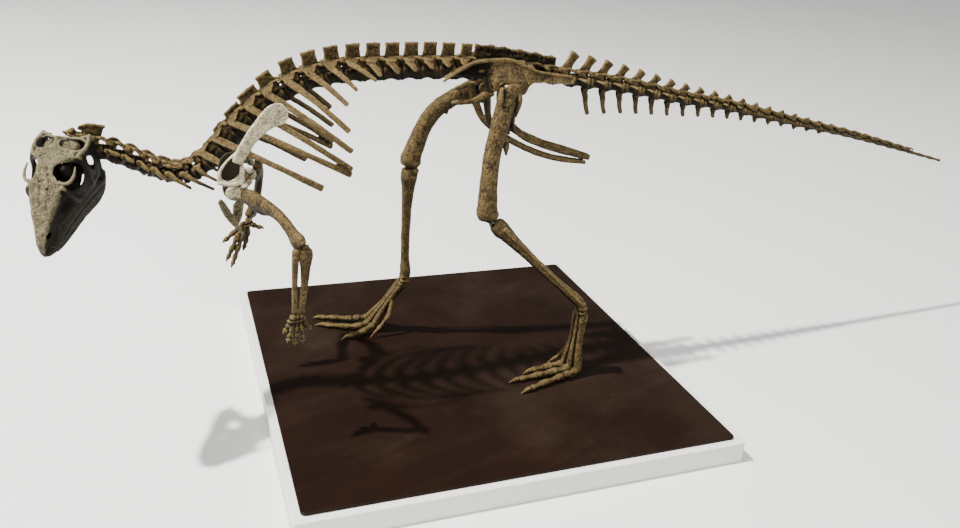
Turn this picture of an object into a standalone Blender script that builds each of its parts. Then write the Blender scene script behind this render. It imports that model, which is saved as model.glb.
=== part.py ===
"""Mounted skeleton of a small two-legged plant-eating dinosaur on its square display board.

The animal walks towards -X with its tail towards +X; its left side is -Y and +Z is up.
The origin is the middle of the board's underside. Sizes are in millimetres until at()
turns them into metres. Positions count from the middle of the board's dark top sheet.
"""

from math import cos, pi, radians, sin

import bmesh
import bpy
from mathutils import Matrix, Vector

for scene_object in list(bpy.data.objects):
    bpy.data.objects.remove(scene_object)

# ---------------------------------------------------------------- driving dimensions

MM = 0.001
GAP = 0.3                     # clearance between neighbouring pieces

BOARD_SIDE = 621.0
BOARD_HEIGHT = 32.0
SHEET_SIDE = 600.0
SHEET_CORNER = 7.0
SHEET_HEIGHT = 4.0
SHEET_TOP = BOARD_HEIGHT + GAP + SHEET_HEIGHT

NECK_BONES = 9
BACK_BONES = 15
CAGE_BONES = 9                # back bones that carry the rib cage
HIP_BONES = 5
TAIL_BONES = 29
NECK_PITCH = 20.0
BACK_PITCH = 25.6
HIP_PITCH = 24.6
TAIL_PITCH_ROOT = 30.0
TAIL_PITCH_TIP = 28.0

# The line through the middles of the vertebral bodies, from skull to tail tip.
SPINE_LINE = [
    (-520, -38, 371), (-502, -30, 365), (-485, -23, 359), (-454, -14, 343), (-434, -11, 332),
    (-413, -12, 324), (-394, -17, 323), (-376, -23, 332), (-356, -30, 351), (-332, -34, 380),
    (-297, -35, 412), (-262, -33, 434), (-205, -27, 449), (-124, -19, 452), (-47, -12, 451),
    (40, -6, 445), (112, -3, 436), (224, 1, 421), (317, 5, 403), (416, 9, 387),
    (484, 12, 373), (575, 16, 354), (692, 21, 330), (819, 27, 300), (934, 31, 272)]

# Tip of each rib from front to back: x, distance from the midline, z.
RIB_TIPS = ((-322, 44, 334), (-236, 62, 322), (-201, 62, 338), (-200, 62, 345), (-200, 62, 368),
            (-203, 60, 393), (-204, 54, 424), (-191, 46, 440), (-166, 40, 450))
CHEST_MIDLINE = -33.0         # y of the midline between the tips
RIB_BULGE = 0.12              # outward bow of a rib as a share of its length
# How far each neck rib's tip lies behind and below its root, from the third neck bone on.
NECK_RIB_REACH = ((12, 4), (10, 6), (10, 9), (13, 13), (25, 19), (35, 21), (19, 15))
RIB_HALF_WIDTH = 2.6
RIB_HALF_DEPTH = 1.7

SKULL_LENGTH = 132.0
HEAD_TURN = 70.4              # towards the animal's left
HEAD_DROP = 33.4              # beak below level
HEAD_ROLL = 3.0
CONDYLE = (-517, -34, 370)
HEAD_CLEARANCE = 12.5         # how far behind the skull the neck begins

BONE = ("bone", (0.30, 0.26, 0.16, 1), 0.72)
PALE_BONE = ("pale_bone", (0.52, 0.49, 0.37, 1), 0.70)
BOARD_PAINT = ("board_paint", (0.86, 0.86, 0.83, 1), 0.45)
DARK_SHEET = ("dark_sheet", (0.035, 0.018, 0.012, 1), 0.38)

LEFT, RIGHT = 1, -1
SIDE_NAMES = {LEFT: "left", RIGHT: "right"}

# ---------------------------------------------------------------- helpers


def at(x, y, z):
    """A point in metres from millimetres above the middle of the dark sheet."""
    return Vector((x, y, z + SHEET_TOP)) * MM


def points(rows):
    return [at(*row) for row in rows]


def material(kind):
    """One Principled material for each kind of surface."""
    name, colour, roughness = kind
    surface = bpy.data.materials.get(name)
    if surface is None:
        surface = bpy.data.materials.new(name)
        surface.use_nodes = True
        shader = surface.node_tree.nodes["Principled BSDF"]
        shader.inputs["Base Color"].default_value = colour
        shader.inputs["Roughness"].default_value = roughness
        shader.inputs["Metallic"].default_value = 0.0
    return surface


def finish(name, bm, kind=BONE):
    """Turn a closed bmesh into a named object with outward faces."""
    bmesh.ops.recalc_face_normals(bm, faces=bm.faces)
    mesh = bpy.data.meshes.new(name)
    bm.to_mesh(mesh)
    bm.free()
    mesh.materials.append(material(kind))
    made = bpy.data.objects.new(name, mesh)
    bpy.context.collection.objects.link(made)
    return made


def fuse(name, solids, kind=BONE):
    """Unite overlapping closed solids into one."""
    body = solids[0]
    for other in solids[1:]:
        union = body.modifiers.new("union", "BOOLEAN")
        union.operation = "UNION"
        union.solver = "EXACT"
        union.use_self = True
        union.object = other
    graph = bpy.context.evaluated_depsgraph_get()
    mesh = bpy.data.meshes.new_from_object(body.evaluated_get(graph))
    for solid in solids:
        bpy.data.objects.remove(solid)
    mesh.name = name
    mesh.materials.clear()
    mesh.materials.append(material(kind))
    made = bpy.data.objects.new(name, mesh)
    bpy.context.collection.objects.link(made)
    return made


def curve_point(line, t):
    """A point on the smooth Catmull-Rom curve through a line of points, t from 0 to 1."""
    spans = len(line) - 1
    span = min(int(t * spans), spans - 1)
    u = t * spans - span
    b = line[span]
    c = line[span + 1]
    a = line[span - 1] if span > 0 else b + (b - c)
    d = line[span + 2] if span + 2 <= spans else c + (c - b)
    return 0.5 * (2 * b + (c - a) * u + (2 * a - 5 * b + 4 * c - d) * u * u
                  + (3 * b - a - 3 * c + d) * u * u * u)


def curve_tangent(line, t):
    step = 0.004
    ahead = curve_point(line, min(t + step, 1.0))
    behind = curve_point(line, max(t - step, 0.0))
    return (ahead - behind).normalized()


def polygon(sides):
    """Corners of a regular polygon of radius one, with a flat towards the second axis."""
    return [(cos(2 * pi * (k + 0.5) / sides), sin(2 * pi * (k + 0.5) / sides))
            for k in range(sides)]


def ring(centre, across, up, shape):
    return [centre + across * a + up * b for a, b in shape]


def loft(bm, rings):
    """Skin a run of equal rings into a closed tube; give its side faces as [gap][side]."""
    loops = [[bm.verts.new(point) for point in one] for one in rings]
    count = len(loops[0])
    bm.faces.new(reversed(loops[0]))
    bm.faces.new(loops[-1])
    sides = []
    for near, far in zip(loops, loops[1:]):
        sides.append([bm.faces.new((near[k], near[(k + 1) % count], far[(k + 1) % count], far[k]))
                      for k in range(count)])
    return sides


def grow(bm, face, rings):
    """Draw a four-cornered face out through a run of rings, each turned to match it."""
    loop = list(face.verts)
    bm.faces.remove(face)
    for target in rings:
        middle = sum((corner.co for corner in loop), Vector()) / 4
        goal = sum(target, Vector()) / 4
        choices = []
        for order in (target, target[::-1]):
            for turn in range(4):
                turned = order[turn:] + order[:turn]
                miss = sum(((corner.co - middle).normalized() - (spot - goal).normalized()).length
                           for corner, spot in zip(loop, turned))
                choices.append((miss, turned))
        matched = min(choices, key=lambda choice: choice[0])[1]
        fresh = [bm.verts.new(spot) for spot in matched]
        for k in range(4):
            bm.faces.new((loop[k], loop[(k + 1) % 4], fresh[(k + 1) % 4], fresh[k]))
        loop = fresh
    return bm.faces.new(loop)


def sweep_rings(line, stations, hint, sides=8):
    """Rings along a curve; a station is (t, half size along the hint, half size across it)."""
    shape = polygon(sides)
    rings = []
    for t, along, across in stations:
        tangent = curve_tangent(line, t)
        first = (hint - tangent * hint.dot(tangent)).normalized()
        second = tangent.cross(first)
        rings.append(ring(curve_point(line, t), first * along * MM, second * across * MM, shape))
    return rings


def sweep(line, stations, hint, sides=8):
    """A closed bmesh that follows a curve, and its side faces."""
    bm = bmesh.new()
    faces = loft(bm, sweep_rings(line, stations, Vector(hint), sides))
    return bm, faces


def bone(name, line, stations, hint, sides=8, kind=BONE):
    bm, _ = sweep(points(line), stations, hint, sides)
    return finish(name, bm, kind)


def plate(name, outline, thickness, kind=BONE):
    """A closed plate: a flat outline of world points given a thickness along its normal."""
    centre = sum(outline, Vector()) / len(outline)
    normal = Vector()
    for here, there in zip(outline, outline[1:] + outline[:1]):
        normal += (here - centre).cross(there - centre)
    shift = normal.normalized() * thickness * MM / 2
    bm = bmesh.new()
    loft(bm, [[spot - shift for spot in outline], [spot + shift for spot in outline]])
    return finish(name, bm, kind)


# ---------------------------------------------------------------- display board


def rounded_square(side, corner, height):
    half = side / 2 - corner
    outline = []
    for quarter, (sx, sy) in enumerate(((1, 1), (-1, 1), (-1, -1), (1, -1))):
        for step in range(4):
            angle = pi / 2 * (quarter + step / 3)
            outline.append(Vector((sx * half + corner * cos(angle),
                                   sy * half + corner * sin(angle), height)) * MM)
    return outline


def make_board():
    bm = bmesh.new()
    loft(bm, [rounded_square(BOARD_SIDE, 1.5, z) for z in (0, BOARD_HEIGHT)])
    finish("base_board", bm, BOARD_PAINT)
    bm = bmesh.new()
    loft(bm, [rounded_square(SHEET_SIDE, SHEET_CORNER, z)
              for z in (BOARD_HEIGHT + GAP, SHEET_TOP)])
    finish("base_sheet", bm, DARK_SHEET)


# ---------------------------------------------------------------- vertebral column

SPINE = points(SPINE_LINE)
SAMPLES = 600
spine_lengths = [0.0]
for sample in range(SAMPLES):
    here = curve_point(SPINE, sample / SAMPLES)
    there = curve_point(SPINE, (sample + 1) / SAMPLES)
    spine_lengths.append(spine_lengths[-1] + (there - here).length / MM)


def spine_frame(distance):
    """Point, direction, left and up of the spine at a distance from the skull."""
    k = 0
    while k < SAMPLES - 1 and spine_lengths[k + 1] < distance:
        k += 1
    part = (distance - spine_lengths[k]) / (spine_lengths[k + 1] - spine_lengths[k])
    t = min((k + part) / SAMPLES, 1.0)
    tangent = curve_tangent(SPINE, t)
    left = Vector((0, 0, 1)).cross(-tangent).normalized()
    return curve_point(SPINE, t), tangent, left, tangent.cross(-left).normalized()


HIP_START = NECK_BONES + BACK_BONES
TAIL_START = HIP_START + HIP_BONES
COLUMN_END = TAIL_START + TAIL_BONES


def joint_distance(index):
    """How far along the spine the joint in front of a vertebra lies."""
    neck = min(index, NECK_BONES)
    back = min(max(index - NECK_BONES, 0), BACK_BONES)
    hips = min(max(index - HIP_START, 0), HIP_BONES)
    tail = max(index - TAIL_START, 0)
    before_tail = neck * NECK_PITCH + back * BACK_PITCH + hips * HIP_PITCH
    shrink = (TAIL_PITCH_TIP - TAIL_PITCH_ROOT) / TAIL_BONES
    return before_tail + tail * TAIL_PITCH_ROOT + shrink * tail * tail / 2


def tail_share(index):
    return min(max((index - TAIL_START) / TAIL_BONES, 0.0), 1.0)


def body_radius(index):
    """Half width of a vertebral body at the joint in front of it."""
    if index < NECK_BONES:
        return 7.0 + 2.0 * index / NECK_BONES
    if index <= HIP_START:
        return 9.0
    if index <= TAIL_START:
        return 10.0
    return 9.6 - 7.4 * tail_share(index) ** 0.8


def arch_height(index):
    return body_radius(index) * (1.75 if index <= TAIL_START else 1.5)


def spine_height(index):
    """Height of a neural spine's top above the middle of the vertebral body."""
    if index == 1:
        return 26.0
    if index < NECK_BONES:
        return 18.5 - 0.2 * index
    if index < HIP_START:
        return min(24.0 + 4.0 * (index - NECK_BONES), 33.0)
    if index < TAIL_START:
        return 34.0 - 1.2 * (index - HIP_START)
    return 5.0 + 34.0 * (1.0 - tail_share(index)) ** 1.9


def column_stations(first, last):
    """Distances and slimness of the rings of a length of column: joint, waist, joint..."""
    stations = []
    for index in range(first, last):
        start = joint_distance(index)
        if index == first:
            start += GAP if index else HEAD_CLEARANCE
        middle = (start + joint_distance(index + 1)) / 2
        stations.append((start, index, 1.0))
        stations.append((middle, index, 0.72))
    stations.append((joint_distance(last), last, 1.0))
    return stations


def whole_section(frame, radius, arch, slim):
    centre, _, left, up = frame
    shape = ((0.55 * slim, -slim), (slim, 0.0), (0.75 * slim, arch / radius))
    mirrored = [(-a, b) for a, b in reversed(shape)]
    return ring(centre, left * radius * MM, up * radius * MM, list(shape) + mirrored)


def half_section(frame, radius, arch, slim, side):
    centre, _, left, up = frame
    gap = GAP / 2 / radius
    shape = ((gap, -slim), (0.62 * slim, -0.8 * slim), (slim, 0.1), (0.75 * slim, arch / radius),
             (gap, arch / radius))
    return ring(centre, left * side * radius * MM, up * radius * MM, shape)


WHOLE_TOP, WHOLE_BOTTOM = 2, 5
WHOLE_UPPER = {LEFT: 1, RIGHT: 3}
WHOLE_LOWER = {LEFT: 0, RIGHT: 4}
HALF_UPPER, HALF_TOP = 2, 3


def slab(frame, along, left_from, left_to, up, half_length, lean=0.0):
    """A level ring for a spine: a thin rectangle above the column."""
    centre, tangent, left, up_axis = frame
    middle = centre + tangent * (along + lean) * MM + up_axis * up * MM
    ends = (tangent * half_length * MM, tangent * -half_length * MM)
    return [middle + ends[0] + left * left_from * MM, middle + ends[1] + left * left_from * MM,
            middle + ends[1] + left * left_to * MM, middle + ends[0] + left * left_to * MM]


def neural_spine(index, frame, left_from, left_to):
    """The rings of one neural spine: a narrow neck, then its plate or blade."""
    top = spine_height(index)
    arch = arch_height(index)
    if index < NECK_BONES:
        blade = 14.0 if index == 1 else 7.0 - 0.4 * index
        lean = -11.0 if index == 1 else 2.0
        return [slab(frame, 0, left_from * 0.6, left_to * 0.6, top, blade, lean)]
    if index < TAIL_START:
        low = arch + 0.25 * (top - arch)
        plate_half = 7.2 if index < HIP_START else 11.8
        return [slab(frame, 0, left_from, left_to, low, plate_half - 1.2),
                slab(frame, 0, left_from, left_to, top, plate_half)]
    share = tail_share(index)
    tall = top - arch
    return [slab(frame, 0, left_from, left_to, arch + 0.4 * tall, 4.6 - 2.6 * share, 0.20 * tall),
            slab(frame, 0, left_from, left_to, top, 4.2 - 2.4 * share, 0.45 * tall)]


def waist_frame(index, shift=0.25):
    start = joint_distance(index)
    return spine_frame(start + (joint_distance(index + 1) - start) * (0.5 + shift))


def rod_rings(spots, half_width, half_depth, hint):
    """Four-cornered rings along a run of points, tapering to the last one."""
    rings = []
    shape = ((1, 1), (-1, 1), (-1, -1), (1, -1))
    for k, spot in enumerate(spots):
        behind = spots[max(k - 1, 0)]
        ahead = spots[min(k + 1, len(spots) - 1)]
        direction = (ahead - behind).normalized()
        wide = (hint - direction * hint.dot(direction)).normalized()
        deep = direction.cross(wide)
        share = 0.6 if k == len(spots) - 1 else 1.0
        rings.append(ring(spot, wide * half_width * share * MM, deep * half_depth * share * MM,
                          shape))
    return rings


def neck_ribs(bm, face, index, side):
    """Short rods that point back and down under the neck, longest at its root."""
    centre, _, left, up = waist_frame(index, -0.2)
    rear, fall = NECK_RIB_REACH[index - 2]
    root = centre + (left * side * 11 - up * 3) * MM
    tip = root + Vector((rear, -side * 4, -fall)) * MM
    spots = [root, root.lerp(tip, 0.3) + left * side * 2 * MM, tip]
    grow(bm, face, rod_rings(spots, 2.2, 1.6, up))


def rib_spots(index, side, steps):
    """The middle line of one rib, an outward-bowed curve from its root to its tip."""
    centre, _, left, up = waist_frame(index, -0.25)
    root = centre + (left * side * 17 + up * 13) * MM
    x, out, z = RIB_TIPS[index - NECK_BONES]
    tip = at(x, CHEST_MIDLINE - side * out, z)
    bulge = Vector((0.1, -side * 1.0, 0.25)) * RIB_BULGE * (tip - root).length
    return [root.lerp(tip, k / steps) + bulge * sin(pi * (k / steps) ** 0.8)
            for k in range(steps + 1)]


def make_rib_cage(side):
    """One half of the front of the back: half of each vertebra with its rib."""
    first, last = NECK_BONES, NECK_BONES + CAGE_BONES
    bm = bmesh.new()
    rings = [half_section(spine_frame(distance), body_radius(index), arch_height(index), slim,
                          side) for distance, index, slim in column_stations(first, last)]
    faces = loft(bm, rings)
    for index in range(first, last):
        front, rear = 2 * (index - first), 2 * (index - first) + 1
        edge = side * GAP / 2
        spine = neural_spine(index, waist_frame(index), edge, side * 1.9)
        grow(bm, faces[rear][HALF_TOP], spine)
        spots = rib_spots(index, side, 4 if 0 < index - first < 6 else 3)
        grow(bm, faces[front][HALF_UPPER],
             rod_rings(spots, RIB_HALF_WIDTH, RIB_HALF_DEPTH, Vector((1, 0, 0.4))))
    finish("rib_cage_" + SIDE_NAMES[side], bm)


def make_column_length(name, first, last):
    """A length of whole vertebrae with everything that grows from them."""
    bm = bmesh.new()
    rings = [whole_section(spine_frame(distance), body_radius(index), arch_height(index), slim)
             for distance, index, slim in column_stations(first, last)]
    faces = loft(bm, rings)
    for index in range(first, last):
        front, rear = 2 * (index - first), 2 * (index - first) + 1
        share = tail_share(index)
        half = 1.9 - 0.9 * share
        if 0 < index < TAIL_START + 24:
            grow(bm, faces[rear][WHOLE_TOP], neural_spine(index, waist_frame(index), -half, half))
        for side in (LEFT, RIGHT):
            if 1 < index < NECK_BONES:
                neck_ribs(bm, faces[front][WHOLE_LOWER[side]], index, side)
            if NECK_BONES <= index < TAIL_START + 12:
                side_process(bm, faces[front][WHOLE_UPPER[side]], index, side)
        if TAIL_START < index < TAIL_START + 18:
            chevron(bm, faces[rear][WHOLE_BOTTOM], index)
    finish(name, bm)


def side_process(bm, face, index, side):
    """A short rib on the loin, a strut to the hip bone, or a tail bone's side wing."""
    centre, tangent, left, up = waist_frame(index, -0.25)
    if index < HIP_START:
        number = index - NECK_BONES - CAGE_BONES
        length = 24.0 - 3.4 * number
        root = centre + (left * side * 13 + up * 13) * MM
        tip = root + (tangent * 0.35 + left * side * 0.8 - up * 0.55) * length * MM
        spots = [root, tip]
    elif index < TAIL_START:
        root = centre + (left * side * 16 + up * 7) * MM
        spots = [root, root + left * side * 4.5 * MM]
    else:
        length = min(15.0 * (1.0 - (index - TAIL_START) / 13), 9.0 + 4.0 * (index - TAIL_START))
        reach = body_radius(index) + length
        spots = [centre + (left * side * reach + up * 4 + tangent * 0.3 * length) * MM]
    if len(spots) == 1:
        flat = (tangent * 2.6 * MM, up * 1.3 * MM)
        shape = ((1, 1), (-1, 1), (-1, -1), (1, -1))
        grow(bm, face, [ring(spots[0], flat[0], flat[1], shape)])
    else:
        grow(bm, face, rod_rings(spots, 3.2, 2.0, tangent))


def chevron(bm, face, index):
    """The backward-leaning bone under a tail joint."""
    share = (index - TAIL_START) / 18
    length = 34.0 * (1.0 - share) ** 0.75 + 2.0
    centre, tangent, _, up = spine_frame(joint_distance(index + 1) - 4.0)
    radius = body_radius(index)
    low = centre - up * (radius + length) * MM + tangent * 0.42 * length * MM
    high = centre - up * (radius + 0.45 * length) * MM + tangent * 0.18 * length * MM
    left = up.cross(tangent)
    shape = ((1, 1), (-1, 1), (-1, -1), (1, -1))
    grow(bm, face, [ring(high, tangent * 2.4 * MM, left * 2.0 * MM, shape),
                    ring(low, tangent * 2.6 * MM, left * 1.5 * MM, shape)])


def make_column():
    make_column_length("neck_front", 0, 5)
    make_column_length("neck_rear", 5, NECK_BONES)
    for side in (LEFT, RIGHT):
        make_rib_cage(side)
    make_column_length("loin", NECK_BONES + CAGE_BONES, HIP_START)
    make_column_length("sacrum", HIP_START, TAIL_START)
    cuts = (TAIL_START, TAIL_START + 6, TAIL_START + 13, TAIL_START + 21, COLUMN_END)
    for number, (first, last) in enumerate(zip(cuts, cuts[1:]), start=1):
        make_column_length("tail_" + str(number), first, last)


# ---------------------------------------------------------------- skull and jaw

head = (Matrix.Rotation(radians(HEAD_TURN), 3, "Z") @ Matrix.Rotation(radians(-HEAD_DROP), 3, "Y")
        @ Matrix.Rotation(radians(HEAD_ROLL), 3, "X"))
NOSE = head @ Vector((-1, 0, 0))
HEAD_LEFT = head @ Vector((0, -1, 0))
CROWN = head @ Vector((0, 0, 1))


def in_head(forward, left, up):
    """A point in skull lengths from the joint with the neck."""
    step = NOSE * forward + HEAD_LEFT * left + CROWN * up
    return at(*CONDYLE) + step * SKULL_LENGTH * MM


def head_rod(name, line, stations, hint, sides=6):
    """A bar of the skull: sizes are in hundredths of the skull length."""
    scale = SKULL_LENGTH / 100
    sized = [(t, a * scale, b * scale) for t, a, b in stations]
    bm, _ = sweep([in_head(*spot) for spot in line], sized, hint, sides)
    return finish(name, bm)


# forward, half width on top, height of top, widest half width and its height, underside
SNOUT_STATIONS = (
    (0.985, 0.010, -0.235, 0.018, -0.256, -0.276),
    (0.955, 0.026, -0.150, 0.042, -0.215, -0.276),
    (0.875, 0.040, -0.074, 0.066, -0.150, -0.215),
    (0.760, 0.066, 0.006, 0.096, -0.080, -0.150),
    (0.640, 0.100, 0.078, 0.132, -0.050, -0.142),
    (0.540, 0.132, 0.112, 0.165, -0.040, -0.150),
    (0.480, 0.110, 0.122, 0.165, -0.040, -0.155))

# forward, half width, height of the midline, drop at the edge
ROOF_STATIONS = (
    (0.545, 0.112, 0.114, 0.012), (0.480, 0.074, 0.132, 0.008), (0.380, 0.066, 0.158, 0.008),
    (0.300, 0.092, 0.174, 0.010), (0.255, 0.190, 0.180, 0.040), (0.205, 0.185, 0.180, 0.036),
    (0.185, 0.070, 0.178, 0.008), (0.090, 0.040, 0.168, 0.006), (0.020, 0.060, 0.158, 0.010),
    (-0.020, 0.075, 0.140, 0.015))


def make_skull():
    bm = bmesh.new()
    rings = []
    for forward, top_width, top, width, middle, bottom in SNOUT_STATIONS:
        half = [(top_width, top), (width, middle), (0.85 * width, bottom)]
        shape = half + [(-a, b) for a, b in reversed(half)]
        rings.append([in_head(forward, a, b) for a, b in shape])
    loft(bm, rings)
    solids = [finish("snout", bm)]

    bm = bmesh.new()
    rings = []
    for forward, width, top, drop in ROOF_STATIONS:
        upper = [(width, top - drop), (0, top), (-width, top - drop)]
        lower = [(-width, top - drop - 0.03), (width, top - drop - 0.03)]
        rings.append([in_head(forward, a, b) for a, b in upper + lower])
    loft(bm, rings)
    solids.append(finish("roof", bm))

    case = [(0.34, 0, 0.05), (0.18, 0, 0.06), (-0.02, 0, 0.03)]
    solids.append(head_rod("braincase", case, ((0.0, 3, 4), (0.25, 7, 8), (0.6, 8.5, 9.5),
                                               (0.9, 7, 8), (1.0, 4, 5)), HEAD_LEFT, 8))
    palate = [(0.50, 0, -0.09), (0.30, 0, -0.05), (0.16, 0, -0.01)]
    solids.append(head_rod("palate", palate, ((0.0, 10, 2), (0.5, 5, 2), (1.0, 4, 3)), HEAD_LEFT))
    for side in (LEFT, RIGHT):
        arch = [(0.222, 0.176 * side, 0.143), (0.11, 0.215 * side, 0.115),
                (-0.03, 0.185 * side, 0.085)]
        solids.append(head_rod("arch", arch, ((0, 2.4, 2), (0.5, 2.4, 1.6), (1, 3, 2)), CROWN))
        crest = [(-0.01, 0.195 * side, 0.085), (-0.01, 0.10 * side, 0.115), (-0.005, 0, 0.13)]
        solids.append(head_rod("crest", crest, ((0, 3, 1.6), (0.5, 2.6, 1.6), (1, 3, 2)), CROWN))
        post = [(0.235, 0.185 * side, 0.145), (0.25, 0.225 * side, 0.02),
                (0.285, 0.225 * side, -0.165)]
        solids.append(head_rod("post", post, ((0, 2.6, 2), (0.5, 1.8, 1.6), (1, 2.6, 1.8)), NOSE))
        cheek = [(0.53, 0.150 * side, -0.105), (0.42, 0.195 * side, -0.150),
                 (0.28, 0.226 * side, -0.180), (0.09, 0.225 * side, -0.215)]
        solids.append(head_rod("cheek", cheek, ((0, 4, 1.6), (0.4, 2.6, 1.6), (0.7, 4, 1.6),
                                                (1, 3.4, 1.6)), CROWN))
        quadrate = [(-0.02, 0.19 * side, 0.09), (0.02, 0.205 * side, -0.10),
                    (0.082, 0.222 * side, -0.315)]
        solids.append(head_rod("quadrate", quadrate, ((0, 3.4, 2), (0.5, 2.4, 2), (0.85, 2.8, 2),
                                                      (1, 2.2, 2.4)), NOSE))
    fuse("skull", solids, PALE_BONE)


def make_brow_rods():
    """The free rod that reaches back over each eye socket."""
    for side in (LEFT, RIGHT):
        line = [(0.550, 0.146 * side, 0.108), (0.530, 0.180 * side, 0.104),
                (0.460, 0.208 * side, 0.112), (0.360, 0.200 * side, 0.140)]
        made = head_rod("brow_rod_" + SIDE_NAMES[side], line,
                        ((0, 2.2, 1.4), (0.35, 1.6, 1.2), (0.7, 1.2, 1.0), (1, 0.5, 0.5)), CROWN, 5)
        made.data.materials[0] = material(PALE_BONE)


# forward, distance from the midline, upper edge, lower edge
JAW_STATIONS = (
    (0.040, 0.212, -0.345, -0.400), (0.090, 0.214, -0.345, -0.440), (0.200, 0.205, -0.300, -0.474),
    (0.300, 0.192, -0.262, -0.462), (0.400, 0.176, -0.268, -0.425), (0.560, 0.142, -0.262, -0.378),
    (0.720, 0.100, -0.262, -0.350), (0.872, 0.048, -0.262, -0.330))


def make_jaw():
    """Two jaw halves that meet the beak bone at the tip."""
    for side in (LEFT, RIGHT):
        bm = bmesh.new()
        rings = []
        for forward, out, top, bottom in JAW_STATIONS:
            shape = ((out - 0.010, top), (out + 0.010, top), (out + 0.022, (top + bottom) / 2),
                     (out + 0.004, bottom), (out - 0.008, bottom), (out - 0.012, (top + bottom) / 2))
            rings.append([in_head(forward, a * side, b) for a, b in shape])
        loft(bm, rings)
        finish("jaw_" + SIDE_NAMES[side], bm, PALE_BONE)
    bm = bmesh.new()
    rings = []
    for forward, width, top, bottom in ((0.884, 0.058, -0.285, -0.335), (0.93, 0.042, -0.295, -0.342),
                                        (0.972, 0.012, -0.300, -0.330)):
        shape = ((width, top), (0.4 * width, bottom), (-0.4 * width, bottom), (-width, top))
        rings.append([in_head(forward, a, b) for a, b in shape])
    loft(bm, rings)
    finish("jaw_beak", bm, PALE_BONE)


# ---------------------------------------------------------------- shoulders and arms

SCAPULA = {
    LEFT: [(-276, -97, 417), (-290, -100, 416), (-304, -103, 407), (-319, -105, 391),
           (-330, -103, 373), (-337, -100, 357), (-342, -96, 340)],
    RIGHT: [(-262, 34, 404), (-276, 37, 403), (-289, 40, 394), (-301, 40, 378),
            (-311, 38, 360), (-317, 35, 344), (-321, 31, 328)]}
SHOULDER = {LEFT: (-328, -97, 319), RIGHT: (-300, 34, 314)}
ELBOW = {LEFT: (-273, -162, 276), RIGHT: (-297, 103, 236)}
WRIST = {LEFT: (-276, -150, 184), RIGHT: (-315, 36, 240)}
ELBOW_GAP = {LEFT: 6, RIGHT: 19}
CORACOID_CENTRE = {LEFT: (-341, -80, 319), RIGHT: (-319, 12, 304)}
CORACOID_RADIUS = 15.0
CHEST_PLATE = {
    LEFT: [(-358, -38, 291), (-350, -38, 293), (-334, -36, 262), (-327, -34, 242), (-336, -38, 252),
           (-350, -40, 272)],
    RIGHT: [(-337, -8, 275), (-328, -8, 286), (-322, -10, 282), (-325, -12, 262), (-333, -14, 246),
            (-338, -12, 258)]}


def make_shoulder(side):
    name = SIDE_NAMES[side]
    blade = bone("blade", SCAPULA[side],
                 ((0, 5, 1.4), (0.05, 11, 1.6), (0.17, 13.5, 1.6), (0.33, 10.5, 1.6),
                  (0.6, 7.2, 1.8), (0.8, 7.6, 2.2), (0.93, 13, 2.6), (1, 14, 2.4)),
                 (-0.7, 0, 0.7), 6)
    fuse("scapula_" + name, [blade], PALE_BONE)
    centre = at(*CORACOID_CENTRE[side])
    inward = Vector((-0.62, -0.76 * side, -0.20)).normalized()
    wide = inward.cross(Vector((0, 0, 1))).normalized()
    tall = wide.cross(inward)
    outline = [centre + (wide * cos(2 * pi * k / 10) + tall * 0.92 * sin(2 * pi * k / 10))
               * CORACOID_RADIUS * MM for k in range(10)]
    plate("coracoid_" + name, outline, 4.0, PALE_BONE)
    plate("chest_plate_" + name, points(CHEST_PLATE[side]), 2.4, PALE_BONE)


def shaft(start, end, bow, along=0.5):
    """Three points from one joint to the next with the middle pushed off line."""
    middle = [a + (b - a) * along + c for a, b, c in zip(start, end, bow)]
    return [start, tuple(middle), end]


def make_arm(side):
    name = SIDE_NAMES[side]
    elbow = ELBOW[side]
    wrist = WRIST[side]
    bone("humerus_" + name, shaft(SHOULDER[side], elbow, (5, -6 * side, 9)),
         ((0, 7, 5), (0.05, 9.5, 6.5), (0.22, 12.5, 5), (0.4, 9, 5), (0.6, 6.5, 5),
          (0.85, 8, 5.8), (0.96, 10, 6), (1, 7, 4.5)), (0.3, -0.5 * side, 0.8), 8)
    drop = Vector(wrist) - Vector(elbow)
    down = drop.normalized()
    across = down.cross(Vector((0, 1, 0) if side == LEFT else (-1, 0, 0))).normalized()
    for bone_name, offset, sizes in (("radius_", -6.0, (4.2, 3.0, 3.6)),
                                     ("ulna_", 6.0, (6.5, 3.4, 3.6))):
        start = Vector(elbow) + down * ELBOW_GAP[side] + across * offset
        end = Vector(wrist) + across * offset * 0.7
        big, slim, end_size = sizes
        bone(bone_name + name, shaft(tuple(start), tuple(end), tuple(across * offset * 0.15)),
             ((0, big * 0.75, 3.4), (0.07, big, 4.0), (0.3, slim + 0.6, 3.2), (0.6, slim, 2.6),
              (0.93, end_size, 3.2), (1, end_size * 0.75, 2.6)), tuple(across), 6)


# Hand: palm middle, fingertips from thumb to fifth finger.
PALM = {LEFT: ((-278, -150, 179), (-280, -150, 163)), RIGHT: ((-318, 30, 236), (-324, 26, 220))}
FINGERTIPS = {
    LEFT: [(-296, -156, 158), (-291, -158, 146), (-281, -152, 138), (-270, -144, 134),
           (-257, -136, 146)],
    RIGHT: [(-294, 34, 222), (-323, 36, 190), (-341, 26, 170), (-347, 30, 178), (-350, 36, 204)]}
KNUCKLES = {
    LEFT: [(-288, -153, 168), (-286, -154, 164), (-280, -150, 160), (-273, -147, 161),
           (-269, -144, 166)],
    RIGHT: [(-308, 33, 229), (-316, 33, 218), (-325, 27, 214), (-331, 26, 216), (-334, 30, 222)]}


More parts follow.
